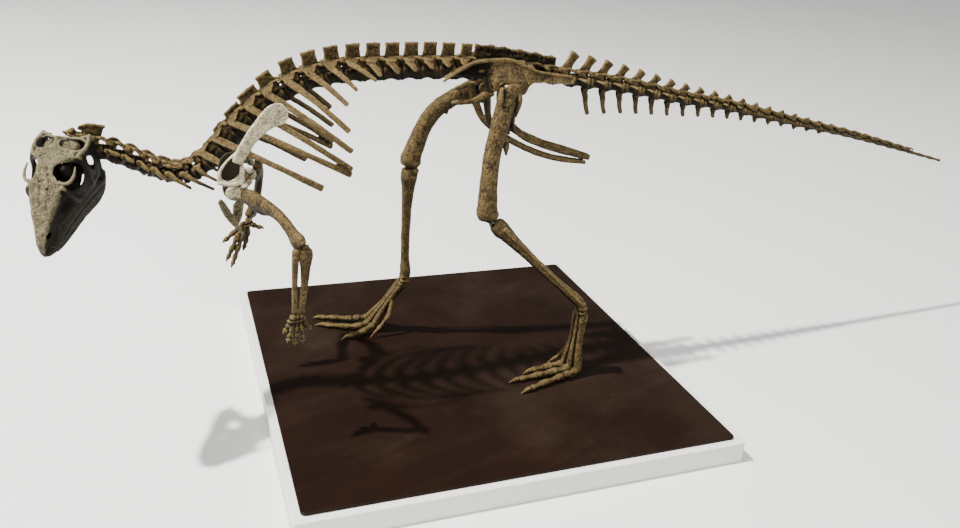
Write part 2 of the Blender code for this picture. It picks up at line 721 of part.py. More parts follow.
def make_hand(side):
    start, end = (Vector(spot) for spot in PALM[side])
    across = (Vector(KNUCKLES[side][4]) - Vector(KNUCKLES[side][0])).normalized()
    solids = [bone("palm", [tuple(start), tuple(start.lerp(end, 0.5)), tuple(end)],
                   ((0, 6, 3.4), (0.4, 9, 3.8), (1, 8.5, 3)), tuple(across), 6)]
    for knuckle, tip in zip(KNUCKLES[side], FINGERTIPS[side]):
        base = start.lerp(end, 0.55).lerp(Vector(knuckle), 0.35)
        path = [tuple(base), knuckle, tuple(Vector(knuckle).lerp(Vector(tip), 0.6)), tip]
        solids.append(bone("finger", path, ((0, 2, 2), (0.33, 2.6, 2.4), (0.7, 2.1, 1.9),
                                            (1, 0.7, 0.7)), tuple(across), 5))
    fuse("hand_" + SIDE_NAMES[side], solids)


# ---------------------------------------------------------------- hips

HIP_MIDLINE = -9.0
HIP_SKEW = 0.055              # the midline drifts to the right towards the tail
ILIUM_OUTLINE = [(-72, 445), (-48, 457), (-20, 466), (25, 467), (49, 459), (72, 451), (119, 445),
                 (121, 435), (79, 437), (56, 436), (48, 423), (38, 424), (30, 436), (14, 437),
                 (4, 428), (-4, 430), (-12, 441), (-42, 446)]


def from_midline(side, rows):
    """Turn (x, distance out from the midline, z) rows into points on one side."""
    return [(x, HIP_MIDLINE + HIP_SKEW * x - side * out, z) for x, out, z in rows]


def make_hips(side):
    name = SIDE_NAMES[side]
    flare = [(x, 28 + 9 * (445 - z) / 30 + 10 * max(0, -x) / 72, z) for x, z in ILIUM_OUTLINE]
    plate("ilium_" + name, points(from_midline(side, flare)), 5.0)
    rods = from_midline(side, [(-58, 37, 415), (-38, 37, 416), (-22, 36, 418), (-9, 33, 422),
                               (-2, 25, 402), (12, 16, 374), (52, 10, 347), (112, 6, 322),
                               (172, 3.5, 311)])
    bone("pubis_" + name, rods, ((0, 1.8, 1.8), (0.03, 2.6, 2.8), (0.125, 3, 3.4),
                                 (0.25, 3.6, 4.6), (0.375, 4, 5.4), (0.5, 3, 4.5),
                                 (0.625, 2.2, 3.4), (0.75, 2.1, 2.8), (0.875, 2, 2.6),
                                 (1, 1.4, 1.6)), (0, 1, 0), 6)
    seat = from_midline(side, [(38, 29, 420), (36, 22, 394), (50, 15, 367), (94, 8, 344),
                               (178, 3.5, 318)])
    bone("ischium_" + name, seat, ((0, 6, 4), (0.1, 7, 3.4), (0.28, 5.4, 2.4), (0.42, 5, 2.3),
                                   (0.56, 4.8, 2.2), (0.75, 4.6, 2.2), (0.95, 4.2, 2.2),
                                   (1, 3, 1.6)), (-0.4, 0, 0.9), 6)


# ---------------------------------------------------------------- legs

HIP = {LEFT: (20, -54, 426), RIGHT: (20, 44, 421)}
KNEE = {LEFT: (-3, -62, 255), RIGHT: (-83, 62, 298)}
SHIN_SHIFT = {LEFT: (10, 0, -9), RIGHT: (3, 0, -6)}
SPUR_REACH = {LEFT: 10, RIGHT: 5}
THIGH_BOW = {LEFT: (-14, 0, 0), RIGHT: (-19, 0, 17)}
ANKLE = {LEFT: (148, -92, 120), RIGHT: (-74, 86, 104)}
TOE_JOINT = {LEFT: (140, -96, 10), RIGHT: (-114, 122, 10)}
# Toes from the inner first toe to the outer fourth: joint on the foot, bend, tip.
TOES = {
    LEFT: [((147, -72, 46), (140, -60, 18), (112, -61, 5)),
           ((138, -78, 13), (108, -74, 8), (70, -77, 5)),
           ((142, -90, 12), (102, -92, 8), (40, -95, 5)),
           ((150, -101, 12), (118, -107, 8), (47, -127, 5))],
    RIGHT: [((-97, 89, 38), (-114, 87, 16), (-130, 84, 5)),
            ((-116, 107, 14), (-143, 94, 8), (-176, 88, 5)),
            ((-121, 121, 12), (-150, 116, 8), (-207, 146, 5)),
            ((-119, 138, 12), (-150, 146, 8), (-206, 172, 5))]}


def make_thigh(side):
    """Thigh bone with its inward ball, outer crest and the hanging spur behind the shaft."""
    hip = HIP[side]
    knee = KNEE[side]
    bm, faces = sweep(points(shaft(hip, knee, THIGH_BOW[side])),
                      ((0, 8, 6), (0.03, 12, 7.5), (0.12, 13.5, 8), (0.25, 11.5, 9),
                       (0.5, 11, 9.5), (0.75, 11.5, 10), (0.9, 14, 12), (0.97, 14.5, 12.5),
                       (1, 10, 9)), (1, 0, 0), 8)
    head_centre = at(hip[0] - 4, hip[1] + side * 12, hip[2] - 7)
    shape = ((1, 1), (-1, 1), (-1, -1), (1, -1))
    inner = max(faces[1], key=lambda face: face.calc_center_median().y * side)
    grow(bm, inner, [ring(head_centre, Vector((6, 0, 0)) * MM, Vector((0, 0, 6)) * MM, shape)])
    rear = max(faces[3], key=lambda face: face.calc_center_median().x)
    middle = rear.calc_center_median() + Vector((0, side * 3, 0)) * MM
    reach = SPUR_REACH[side]
    grow(bm, rear, [ring(middle + Vector((reach, 0, -8)) * MM, Vector((1, 0, 7)) * MM,
                         Vector((0, 2.4, 0)) * MM, shape),
                    ring(middle + Vector((reach + 1, 0, -22)) * MM, Vector((2, 0, 1)) * MM,
                         Vector((0, 1.8, 0)) * MM, shape)])
    finish("femur_" + SIDE_NAMES[side], bm)


def make_shin(side):
    name = SIDE_NAMES[side]
    knee = Vector(KNEE[side])
    ankle = Vector(ANKLE[side])
    down = (ankle - knee).normalized()
    start = knee + down * 7 + Vector(SHIN_SHIFT[side])
    end = ankle - down * 5
    outward = Vector((0, -side, 0))
    bone("tibia_" + name, [tuple(start), tuple(start.lerp(end, 0.5)), tuple(end)],
         ((0, 10, 9), (0.04, 13, 10.5), (0.12, 11.5, 9), (0.3, 8.6, 7), (0.6, 7, 6.2),
          (0.85, 6.8, 7), (0.95, 8.4, 9), (1, 7, 7.5)), (-1, 0, -0.1), 8)
    side_start = start + outward * 12 + Vector((5, 0, 0)) + down * 4
    side_end = end + outward * 12 + down * 1
    bone("fibula_" + name, [tuple(side_start), tuple(side_start.lerp(side_end, 0.5)
                                                     + outward * -1.0), tuple(side_end)],
         ((0, 3.6, 1.8), (0.08, 4.2, 2.2), (0.3, 2.6, 1.6), (0.9, 2.4, 1.6), (1, 2.8, 1.8)),
         (-1, 0, 0), 6)


def make_foot(side):
    """The long foot bones, held side by side under the ankle, and four toes."""
    name = SIDE_NAMES[side]
    ankle = Vector(ANKLE[side])
    toe_joint = Vector(TOE_JOINT[side])
    down = (toe_joint - ankle).normalized()
    top = ankle + down * 3
    solids = [bone("tarsus", [tuple(top), tuple(top + down * 6), tuple(top + down * 14)],
                   ((0, 7, 9), (0.4, 8, 11), (1, 6.5, 9.5)), (1, 0, 0), 8)]
    for joint, _, _ in TOES[side][1:]:
        head_end = Vector(joint) - down * 2
        inset = top.lerp(head_end, 0.06) * 0.6 + (top + down * 6) * 0.4
        line = [tuple(inset), tuple(inset.lerp(head_end, 0.5)), tuple(head_end + down * -3)]
        solids.append(bone("long_bone", line, ((0, 4, 4), (0.3, 4.3, 4.8), (0.7, 4, 4.5),
                                               (0.92, 5.6, 4.6), (1, 4.6, 3.8)), (1, 0, 0), 6))
    joint = Vector(TOES[side][0][0])
    start = top.lerp(toe_joint, 0.28) + Vector((-2, 4 * side, 0))
    solids.append(bone("splint", [tuple(start), tuple(start.lerp(joint, 0.5)), tuple(joint)],
                       ((0, 2.6, 2.6), (0.6, 2.2, 2.2), (1, 2.8, 2.6)), (1, 0, 0), 5))
    fuse("foot_" + name, solids)
    for number, (joint, bend, tip) in enumerate(TOES[side], start=1):
        start = Vector(joint)
        out = (Vector(bend) - start).normalized()
        start = start + out * (2.5 if number > 1 else 5.0)
        size = 0.62 if number == 1 else 1.0
        spots = [tuple(start), tuple(start.lerp(Vector(bend), 0.55)), bend,
                 tuple(Vector(bend).lerp(Vector(tip), 0.62)), tip]
        floor_tip = (tip[0], tip[1], 1.6)
        spots[-1] = floor_tip
        stations = [(0, 4.0, 4.0), (0.18, 3.0, 3.0), (0.33, 4.0, 3.8), (0.45, 2.7, 2.7),
                    (0.58, 3.6, 3.4), (0.75, 2.8, 2.6), (1, 0.7, 0.7)]
        sized = [(t, a * size, b * size) for t, a, b in stations]
        bone("toe_" + name + "_" + str(number), spots, sized, (0, 1, 0), 5)


# ---------------------------------------------------------------- the whole mount

make_board()
make_column()
make_skull()
make_brow_rods()
make_jaw()
for body_side in (LEFT, RIGHT):
    make_shoulder(body_side)
    make_arm(body_side)
    make_hand(body_side)
    make_hips(body_side)
    make_thigh(body_side)
    make_shin(body_side)
    make_foot(body_side)
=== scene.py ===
# %% [markdown]
# # A mounted skeleton, bone by bone
# This file dresses the plain solids of a small dinosaur skeleton with the surfaces of real
# bones. Every bone is first worked out as simple closed skins with numpy: tubes along curves,
# rounded blocks, balls and thin plates. A voxel remesh then melts the skins that belong to one
# bone into a single surface, as clay is smeared over joins, and a last pass adds pits and
# wear. Doing it this way keeps the numbers readable and still gives shapes with no seams.

import bpy
import numpy as np
from mathutils import Matrix, Vector


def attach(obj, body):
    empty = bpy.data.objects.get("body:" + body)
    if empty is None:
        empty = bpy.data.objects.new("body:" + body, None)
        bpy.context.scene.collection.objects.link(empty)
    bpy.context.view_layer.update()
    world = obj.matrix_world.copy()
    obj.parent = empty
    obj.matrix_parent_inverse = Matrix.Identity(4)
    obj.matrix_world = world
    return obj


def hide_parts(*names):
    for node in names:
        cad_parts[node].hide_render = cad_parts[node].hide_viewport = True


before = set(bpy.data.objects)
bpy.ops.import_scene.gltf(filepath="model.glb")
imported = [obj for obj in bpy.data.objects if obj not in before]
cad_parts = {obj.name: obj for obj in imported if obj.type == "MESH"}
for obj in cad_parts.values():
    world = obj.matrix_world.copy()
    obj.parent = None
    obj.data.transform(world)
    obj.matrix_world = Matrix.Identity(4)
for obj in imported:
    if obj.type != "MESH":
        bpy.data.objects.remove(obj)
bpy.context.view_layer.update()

# %% [markdown]
# ## Named sizes
# Lengths are in millimetres above the middle of the board's dark top sheet, with the tail
# towards +X and the animal's left side towards -Y. They are turned into metres only when a
# mesh is made, so the numbers stay close to what one would read off the skeleton.

# %% Sizes
MM = 0.001
BOARD_SIDE, BOARD_HEIGHT = 621, 32
SHEET_SIDE, SHEET_CORNER, SHEET_HEIGHT = 600, 7, 4
SHEET_GAP = 0.3
SHEET_TOP = BOARD_HEIGHT + SHEET_GAP + SHEET_HEIGHT

# How many vertebrae there are in the neck, back, rib cage, hips and tail, and how far apart.
NECK, BACK, CAGE, HIPS, TAIL = 9, 15, 9, 5, 29
NECK_PITCH, BACK_PITCH, HIP_PITCH = 20, 25.6, 24.6
TAIL_PITCH_ROOT, TAIL_PITCH_TIP = 30, 28
HIP_START = NECK + BACK
TAIL_START = HIP_START + HIPS
COLUMN_END = TAIL_START + TAIL

# The middle line of the backbone, from the skull to the tip of the tail.
SPINE_LINE = np.array([
    (-520, -38, 371), (-502, -30, 365), (-485, -23, 359), (-454, -14, 343), (-434, -11, 332),
    (-413, -12, 324), (-394, -17, 323), (-376, -23, 332), (-356, -30, 351), (-332, -34, 380),
    (-297, -35, 412), (-262, -33, 434), (-205, -27, 449), (-124, -19, 452), (-47, -12, 451),
    (40, -6, 445), (112, -3, 436), (224, 1, 421), (317, 5, 403), (416, 9, 387),
    (484, 12, 373), (575, 16, 354), (692, 21, 330), (819, 27, 300), (934, 31, 272)], float)

LEFT, RIGHT = 1, -1
SIDES = {LEFT: "left", RIGHT: "right"}
UP = np.array([0.0, 0.0, 1.0])
ACROSS = np.array([0.0, 1.0, 0.0])
ALONG = np.array([1.0, 0.0, 0.0])
print("vertebrae:", COLUMN_END, "sheet top:", SHEET_TOP, "mm")

# %% [markdown]
# ## Curves
# A bone's middle line is a few given points. A Catmull-Rom curve passes smoothly
# through all of them and needs no extra handles, which makes it easy to move one point and
# see what happens. Sizes along the line are eased between stations in the same spirit.

# %% Curves and easing
def unit(vectors):
    """Vectors divided by their own length."""
    return vectors / np.maximum(np.linalg.norm(vectors, axis=-1, keepdims=True), 1e-9)


def along(line, t):
    """Catmull-Rom curve: in each span, half of (2b + (c-a)u + (2a-5b+4c-d)u^2 + (3b-a-3c+d)u^3)."""
    line = np.asarray(line, float)
    t = np.asarray(t, float)
    spans = len(line) - 1
    padded = np.vstack([2 * line[0] - line[1], line, 2 * line[-1] - line[-2]])
    k = np.clip((t * spans).astype(int), 0, spans - 1)
    u = (t * spans - k)[..., None]
    a, b, c, d = padded[k], padded[k + 1], padded[k + 2], padded[k + 3]
    return 0.5 * (2 * b + (c - a) * u + (2 * a - 5 * b + 4 * c - d) * u ** 2
                  + (3 * b - a - 3 * c + d) * u ** 3)


def heading(line, t, near=0.004):
    """Direction of the curve: the difference of two near points, made one long."""
    t = np.asarray(t, float)
    return unit(along(line, np.minimum(t + near, 1)) - along(line, np.maximum(t - near, 0)))


def eased(t, stations, column):
    """Value between stations: a cubic that leaves and meets each one with its neighbours' slope."""
    stations = np.asarray(stations, float)
    knots, values = stations[:, 0], stations[:, column]
    if len(knots) > 2:
        slopes = np.gradient(values, knots)
    else:
        slopes = np.full(2, (values[1] - values[0]) / (knots[1] - knots[0]))
    k = np.clip(np.searchsorted(knots, t, side="right") - 1, 0, len(knots) - 2)
    width = knots[k + 1] - knots[k]
    u = np.clip((t - knots[k]) / width, 0, 1)
    cubic = ((2 * u ** 3 - 3 * u ** 2 + 1) * values[k] + (u ** 3 - 2 * u ** 2 + u) * width * slopes[k]
             + (3 * u ** 2 - 2 * u ** 3) * values[k + 1] + (u ** 3 - u ** 2) * width * slopes[k + 1])
    straight = values[k] * (1 - u) + values[k + 1] * u
    return np.clip(cubic, 0.75 * straight, 1.3 * straight)


print("middle of the backbone's curve:", np.round(along(SPINE_LINE, 0.5), 1), "mm")

# %% [markdown]
# ## Skins
# Three closed skins make nearly every bone. A *tube* is a squared circle carried along a
# curve, with domed ends. A *block* is a ball pushed towards a box. A *plate* is a grid of
# points given a thickness, with any cells left out becoming true openings. Each is plain
# arrays of corners and faces, so skins can be piled up before a mesh is ever made.

# %% Rings and how they close
def squared(angle, power):
    """Superellipse: cosine and sine raised to 2/power with their signs kept."""
    c, s = np.cos(angle), np.sin(angle)
    return np.sign(c) * np.abs(c) ** (2 / power), np.sign(s) * np.abs(s) ** (2 / power)


def wrapped(grid, first, last):
    """Join rows of rings into a closed skin with a point at each end.

    Every face has four columns; a three-cornered one has -1 in the last.
    """
    rows, columns = grid.shape[:2]
    number = np.arange(rows * columns).reshape(rows, columns)
    turned = np.roll(number, -1, axis=1)
    quads = np.stack([number[:-1], turned[:-1], turned[1:], number[1:]], -1).reshape(-1, 4)
    start, end = rows * columns, rows * columns + 1
    cap_a = np.stack([turned[0], number[0], np.full(columns, start)], -1)
    cap_b = np.stack([number[-1], turned[-1], np.full(columns, end)], -1)
    corners = np.vstack([grid.reshape(-1, 3), first, last])
    caps = np.vstack([cap_a, cap_b])
    return corners, np.vstack([quads, np.hstack([caps, np.full((len(caps), 1), -1)])])


print("a squared circle at 45 degrees:", np.round(squared(np.pi / 4, 3), 3))

# %% Tube
DOME_RINGS = 3


def tube(line, stations, hint, power=2.2, dome=0.5, step=1.6, around=20):
    """Squared circle along a curve: centre + hint side times a(t) cos + other side times b(t) sin.

    A station is (t, half size along the hint, half size across it). Each end is closed by
    rings that shrink as a cosine while they move out as a sine, by dome times the size.
    """
    line = np.asarray(line, float)
    length = np.linalg.norm(np.diff(along(line, np.linspace(0, 1, 60)), axis=0), axis=1).sum()
    rows = int(np.clip(length / step, 8, 160))
    start, end = stations[0][0], stations[-1][0]
    t = np.linspace(start, end, rows)
    a, b = eased(t, stations, 1), eased(t, stations, 2)
    centre, forward = along(line, t), heading(line, t)
    turn = np.linspace(0, np.pi / 2, DOME_RINGS + 2)[1:-1]
    low = np.minimum(a, b)
    centre = np.vstack([centre[:1] - forward[:1] * (low[0] * dome * np.sin(turn[::-1]))[:, None],
                        centre,
                        centre[-1:] + forward[-1:] * (low[-1] * dome * np.sin(turn))[:, None]])
    a = np.concatenate([a[0] * np.cos(turn[::-1]), a, a[-1] * np.cos(turn)])
    b = np.concatenate([b[0] * np.cos(turn[::-1]), b, b[-1] * np.cos(turn)])
    forward = np.vstack([np.repeat(forward[:1], DOME_RINGS, 0), forward,
                         np.repeat(forward[-1:], DOME_RINGS, 0)])
    hint = np.asarray(hint, float)
    side = unit(hint - forward * (forward @ hint)[:, None])
    other = np.cross(forward, side)
    c, s = squared(np.linspace(0, 2 * np.pi, around, endpoint=False), power)
    grid = (centre[:, None] + side[:, None] * (a[:, None] * c)[..., None]
            + other[:, None] * (b[:, None] * s)[..., None])
    first = centre[0] - forward[0] * low[0] * dome * 0.12
    last = centre[-1] + forward[-1] * low[-1] * dome * 0.12
    return wrapped(grid, first, last)


print("corners of a tube:", len(tube([(0, 0, 0), (9, 0, 0)], ((0, 2, 2), (1, 1, 1)), UP)[0]))

# %% Block and ball
def block(centre, sizes, axes=None, power=3, rows=10, around=20):
    """Superellipsoid: a ball whose sines and cosines are raised to 2/power, then stretched."""
    up_cos, up_sin = squared(np.linspace(-np.pi / 2, np.pi / 2, rows + 2)[1:-1], power)
    c, s = squared(np.linspace(0, 2 * np.pi, around, endpoint=False), power)
    unit_grid = np.stack([up_cos[:, None] * c, up_cos[:, None] * s,
                          np.repeat(up_sin[:, None], around, 1)], -1)
    axes = np.eye(3) if axes is None else np.asarray(axes, float)
    frame_rows = axes * np.asarray(sizes, float)[:, None]
    centre = np.asarray(centre, float)
    return wrapped(unit_grid @ frame_rows + centre, centre - frame_rows[2], centre + frame_rows[2])


def ball(centre, sizes):
    """A block of power two, which is an ellipsoid."""
    return block(centre, sizes, power=2)


print("corners of a block:", len(block((0, 0, 0), (1, 1, 1))[0]))

# %% Plate
def plate(points, thickness, keep=None):
    """A grid of points moved half a thickness both ways along its normals, walled at every rim.

    Cells whose four corners aren't all kept are left out, so a mask cuts real openings.
    """
    points = np.asarray(points, float)
    rows, columns = points.shape[:2]
    down, across = np.gradient(points, axis=0), np.gradient(points, axis=1)
    normal = unit(np.cross(across, down))
    half = np.broadcast_to(np.asarray(thickness, float) / 2, (rows, columns))[..., None]
    keep = np.ones((rows, columns), bool) if keep is None else keep
    number = np.arange(rows * columns).reshape(rows, columns)
    cells = np.stack([number[:-1, :-1], number[:-1, 1:], number[1:, 1:], number[1:, :-1]], -1)
    whole = keep[:-1, :-1] & keep[:-1, 1:] & keep[1:, 1:] & keep[1:, :-1]
    cells = cells[whole]
    sides = np.vstack([cells[:, [0, 1]], cells[:, [1, 2]], cells[:, [2, 3]], cells[:, [3, 0]]])
    key = np.sort(sides, axis=1) @ np.array([rows * columns, 1])
    _, where, times = np.unique(key, return_inverse=True, return_counts=True)
    rim = sides[times[where.ravel()] == 1]
    total = rows * columns
    walls = np.stack([rim[:, 0], rim[:, 0] + total, rim[:, 1] + total, rim[:, 1]], -1)
    corners = np.vstack([(points + normal * half).reshape(-1, 3),
                         (points - normal * half).reshape(-1, 3)])
    faces = np.vstack([cells, cells[:, ::-1] + total, walls])
    used, fresh = np.unique(faces, return_inverse=True)
    return corners[used], fresh.reshape(faces.shape)


print("faces of a plate of 2 by 2 points:", len(plate(np.eye(4)[:, :3].reshape(2, 2, 3), 0.5)[1]))

# %% [markdown]
# ## Bone surface
# Old bone is never smooth. Value noise puts a random number at each corner of a cubic
# lattice and blends between them; a few sizes of it added together give both slow swellings
# and fine pits. A modifier with a texture could do the same, but numbers worked out here are
# also used for colour: each point keeps how deep in a hollow it lies and how proud it stands.

# %% Noise
HASH_STEPS = (73856093, 19349663, 83492791)
HASH_MIXERS = (2654435761, 2246822519)


def grain(points, size, seed):
    """Value noise: hashed numbers at cube corners, blended with 3x^2 - 2x^3, from -1 to 1."""
    scaled = points / size + seed * 17.31
    cell = np.floor(scaled).astype(np.int64)
    part = scaled - cell
    part = part * part * (3 - 2 * part)
    total = np.zeros(len(points))
    for corner in range(8):
        step = np.array([corner & 1, corner >> 1 & 1, corner >> 2 & 1])
        spot = cell + step
        mixed = spot[:, 0] * HASH_STEPS[0] ^ spot[:, 1] * HASH_STEPS[1] ^ spot[:, 2] * HASH_STEPS[2]
        mixed = mixed * HASH_MIXERS[0] & 0xFFFFFFFF
        mixed = (mixed ^ mixed >> 15) * HASH_MIXERS[1] & 0xFFFFFFFF
        value = (mixed ^ mixed >> 13) / 2 ** 31 - 1
        total += value * np.prod(np.where(step, part, 1 - part), axis=1)
    return total


print("noise at two near points:", np.round(grain(np.eye(3)[:2], 5, 1), 3))

# %% Neighbours and open sky
SKY_RAYS = 16
SKY_STEPS = (3, 6, 9.5, 14, 20, 29, 40)


def neighbour_mean(values, edges, count):
    """Average of each point's neighbours, by adding up both ends of every edge."""
    ends = np.concatenate([edges[:, 0], edges[:, 1]])
    others = np.concatenate([edges[:, 1], edges[:, 0]])
    number = np.maximum(np.bincount(ends, minlength=count), 1)
    return np.stack([np.bincount(ends, values[others, k], minlength=count) / number
                     for k in range(values.shape[1])], -1)


def read_mesh(mesh):
    """A mesh's corners, its edges as pairs of corner numbers, and its corners' normals."""
    corners = np.empty(len(mesh.vertices) * 3, np.float32)
    mesh.vertices.foreach_get("co", corners)
    edges = np.empty(len(mesh.edges) * 2, np.int32)
    mesh.edges.foreach_get("vertices", edges)
    normals = np.empty(len(mesh.vertices) * 3, np.float32)
    mesh.vertex_normals.foreach_get("vector", normals)
    return (corners.reshape(-1, 3).astype(float), edges.reshape(-1, 2),
            normals.reshape(-1, 3).astype(float))


def sky_share(corners, normals, cell=2.2):
    """How much sky each point sees, one for a flat top and a half for an open wall.

    Sixteen rays over the upper half of a sphere, turned by the golden angle, walk 3 to 40 mm
    through a coarse grid of filled cells. A free ray adds its cosine with the normal.
    """
    start = (corners - corners.min(0) + normals * cell * 1.4) / cell + 2
    size = (np.ptp(corners, axis=0) / cell).astype(int) + 5
    filled = np.zeros(size, bool)
    filled[tuple(((corners - corners.min(0)) / cell + 2).astype(int).T)] = True
    filled, stride = filled.ravel(), np.array([size[1] * size[2], size[2], 1])
    height = (np.arange(SKY_RAYS) + 0.5) / SKY_RAYS
    spin = np.arange(SKY_RAYS) * np.pi * (3 - np.sqrt(5))
    rays = np.stack([np.sqrt(1 - height ** 2) * np.cos(spin),
                     np.sqrt(1 - height ** 2) * np.sin(spin), height], -1)
    seen = np.zeros(len(corners))
    for ray in rays:
        free = np.clip(normals @ ray, 0, 1)
        for step in SKY_STEPS:
            spot = np.clip((start + ray * (step / cell)).astype(int), 0, size - 1)
            free = np.where(filled[spot @ stride], 0, free)
        seen += free
    return np.clip(seen / height.sum(), 0, 1)


print("sky over two points on each other:", np.round(sky_share(UP * [[0], [9]], UP * [[1], [1]]), 2))

# %% Weathering
PIT_SIZE, LUMP_SIZE, SWELL_SIZE = 2.2, 4.2, 9


def keep_value(mesh, name, values):
    """One number for each point of the mesh, kept under a name that a material can read."""
    layer = mesh.attributes.new(name, "FLOAT", "POINT")
    layer.data.foreach_set("value", np.clip(values, -1, 1).astype(np.float32))


def weather(mesh, rough, voxel, seed, stain_and_shade=None):
    """Pits and swellings along the normals, and what the colours need at each point.

    Hollow is how far the smoothed surface lies outside a point, proud how far inside it,
    both divided by the voxel; sky is the share of open sky; the last value is one where the
    bone is darkened by soil and painted shade, nought where nothing was done, and minus one
    where the darkening is lifted.
    """
    corners, edges, normals = read_mesh(mesh)
    count = len(corners)
    corners = corners / MM
    relaxed = corners
    for _ in range(2):
        relaxed = 0.5 * relaxed + 0.5 * neighbour_mean(relaxed, edges, count)
    pits = np.minimum(grain(corners, PIT_SIZE, seed), 0.1) * 0.55
    swell = (grain(corners, SWELL_SIZE, seed + 1) * 0.5
             + grain(corners, LUMP_SIZE, seed + 2) * 0.35)
    relaxed = relaxed + normals * (rough * (pits + swell))[:, None]
    broad = relaxed
    for _ in range(9):
        broad = neighbour_mean(broad, edges, count)
    sink = np.einsum("ij,ij->i", broad - relaxed, normals) / voxel
    sink = neighbour_mean(sink[:, None], edges, count)[:, 0]
    mesh.vertices.foreach_set("co", (relaxed * MM).astype(np.float32).ravel())
    keep_value(mesh, "hollow", np.maximum(sink * 2.2 + 0.05, 0))
    keep_value(mesh, "proud", np.maximum(-sink * 1.5, 0))
    # The sky share feeds dust on upward faces and painted shade where little sky is seen.
    sky = sky_share(relaxed, normals)[:, None]
    for _ in range(3):
        sky = neighbour_mean(sky, edges, count)
    keep_value(mesh, "sky", sky[:, 0])
    # Soil and painted shade for each point, from the piece's own function.
    stain_and_shade_values = np.zeros(count) if stain_and_shade is None else stain_and_shade(relaxed - UP * SHEET_TOP)
    keep_value(mesh, "stain_and_shade", stain_and_shade_values)
    mesh.update()


print("pits every", PIT_SIZE, "mm, swellings every", SWELL_SIZE, "mm")

# %% [markdown]
# ## From skins to a piece
# The voxel remesh walks a lattice through the pile of skins and wraps one new surface around
# everything that is inside any of them. A Boolean union would keep every corner exact, but it
# leaves sharp seams and slivers; here the slight melting of the remesh is just what bone
# needs. The modifier is applied straight away so that the weathering can follow it.

# %% Skins to a mesh
def pile(skins):
    """Put skins one after another, shifting the corner numbers of each."""
    bases = np.cumsum([0] + [len(points) for points, _ in skins])
    faces = [np.where(cells < 0, -1, cells + base) for (_, cells), base in zip(skins, bases)]
    return np.vstack([points for points, _ in skins]), np.vstack(faces)


def mesh_from(name, skins):
    """A mesh in metres from a pile of skins; faces of three and four corners are kept apart."""
    corners, faces = pile(skins)
    real = faces >= 0
    sizes = real.sum(1)
    mesh = bpy.data.meshes.new(name)
    mesh.vertices.add(len(corners))
    mesh.vertices.foreach_set("co", ((corners + UP * SHEET_TOP) * MM).astype(np.float32).ravel())
    mesh.loops.add(int(sizes.sum()))
    mesh.loops.foreach_set("vertex_index", faces[real].astype(np.int32))
    mesh.polygons.add(len(faces))
    mesh.polygons.foreach_set("loop_start", (np.cumsum(sizes) - sizes).astype(np.int32))
    mesh.update(calc_edges=True)
    return mesh


print("two piled balls have", len(pile([ball((0, 0, 0), (1, 1, 1))] * 2)[1]), "faces")

# %% Melt skins into one piece
made_pieces = []


def settle(name, mesh, nodes, material):
    """Make the object, stand it in for its solids and tie it to the one body."""
    piece = bpy.data.objects.new(name, mesh)
    bpy.context.scene.collection.objects.link(piece)
    mesh.materials.clear()
    mesh.materials.append(material)
    mesh.polygons.foreach_set("use_smooth", np.ones(len(mesh.polygons), bool))
    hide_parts(*nodes)
    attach(piece, "root")
    made_pieces.append((name, len(mesh.polygons)))
    return piece


def melted(name, skins, material, voxel, rough, stain_and_shade=None):
    """Remesh a pile of skins, weather it, and settle it in place of its solid."""
    rough_mesh = mesh_from(name + "_skins", skins)
    holder = bpy.data.objects.new(name + "_skins", rough_mesh)
    bpy.context.scene.collection.objects.link(holder)
    remesh = holder.modifiers.new("melt", "REMESH")
    remesh.mode = "VOXEL"
    remesh.voxel_size = voxel * MM
    remesh.use_smooth_shade = True
    graph = bpy.context.evaluated_depsgraph_get()
    mesh = bpy.data.meshes.new_from_object(holder.evaluated_get(graph))
    bpy.data.objects.remove(holder)
    mesh.name = name
    weather(mesh, rough, voxel, len(made_pieces), stain_and_shade)
    return settle(name + "_bone", mesh, [name], material)


print("pieces made so far:", len(made_pieces))

# %% [markdown]
# ## Where each vertebra sits
# The backbone hangs on one curve, walked by its true length, so the joints fall where they
# do on a real animal: close together in the neck, wider in the back and tail. Each vertebra
# is built in its own small frame (towards the tail, to the right, up) and then carried there
# whole, because a bone is stiff and only the joints between bones bend.

# %% The backbone's own measure
WALK_STEPS = 600
walk_t = np.linspace(0, 1, WALK_STEPS + 1)
walk = np.concatenate([[0], np.cumsum(np.linalg.norm(
    np.diff(along(SPINE_LINE, walk_t), axis=0), axis=1))])


def joint(index):
    """Distance from the skull to the joint in front of a vertebra: pitches added up."""
    neck, back = min(index, NECK), min(max(index - NECK, 0), BACK)
    hips, tail = min(max(index - HIP_START, 0), HIPS), max(index - TAIL_START, 0)
    shrink = (TAIL_PITCH_TIP - TAIL_PITCH_ROOT) / TAIL
    return (neck * NECK_PITCH + back * BACK_PITCH + hips * HIP_PITCH
            + tail * TAIL_PITCH_ROOT + shrink * tail * tail / 2)


def station(distance):
    """Point on the spine, and axes (towards the tail, right, up) at a distance."""
    t = np.interp(distance, walk, walk_t)
    tail_ward = heading(SPINE_LINE, t)
    right = unit(np.cross(UP, tail_ward))
    return along(SPINE_LINE, t), np.stack([tail_ward, right, np.cross(tail_ward, right)])


def at(x, y, z):
    """Three numbers as one vector."""
    return np.array([x, y, z])


def carried(skins, origin, axes):
    """Skins moved from a bone's own frame into place."""
    return [(points @ axes + origin, faces) for points, faces in skins]


def from_joints(index):
    """Middle of a vertebra, its axes and its length."""
    here, there = joint(index), joint(index + 1)
    origin, axes = station((here + there) / 2)
    return origin, axes, there - here


def out_to(side, amount):
    """Right-hand distance for a distance out on one side."""
    return -side * amount


print("backbone length:", round(float(walk[-1]), 1), "mm, last joint", joint(COLUMN_END))

# %% How thick and how tall
def tail_share(index):
    """Nought at the root of the tail and one at its tip."""
    return float(np.clip((index - TAIL_START) / TAIL, 0, 1))


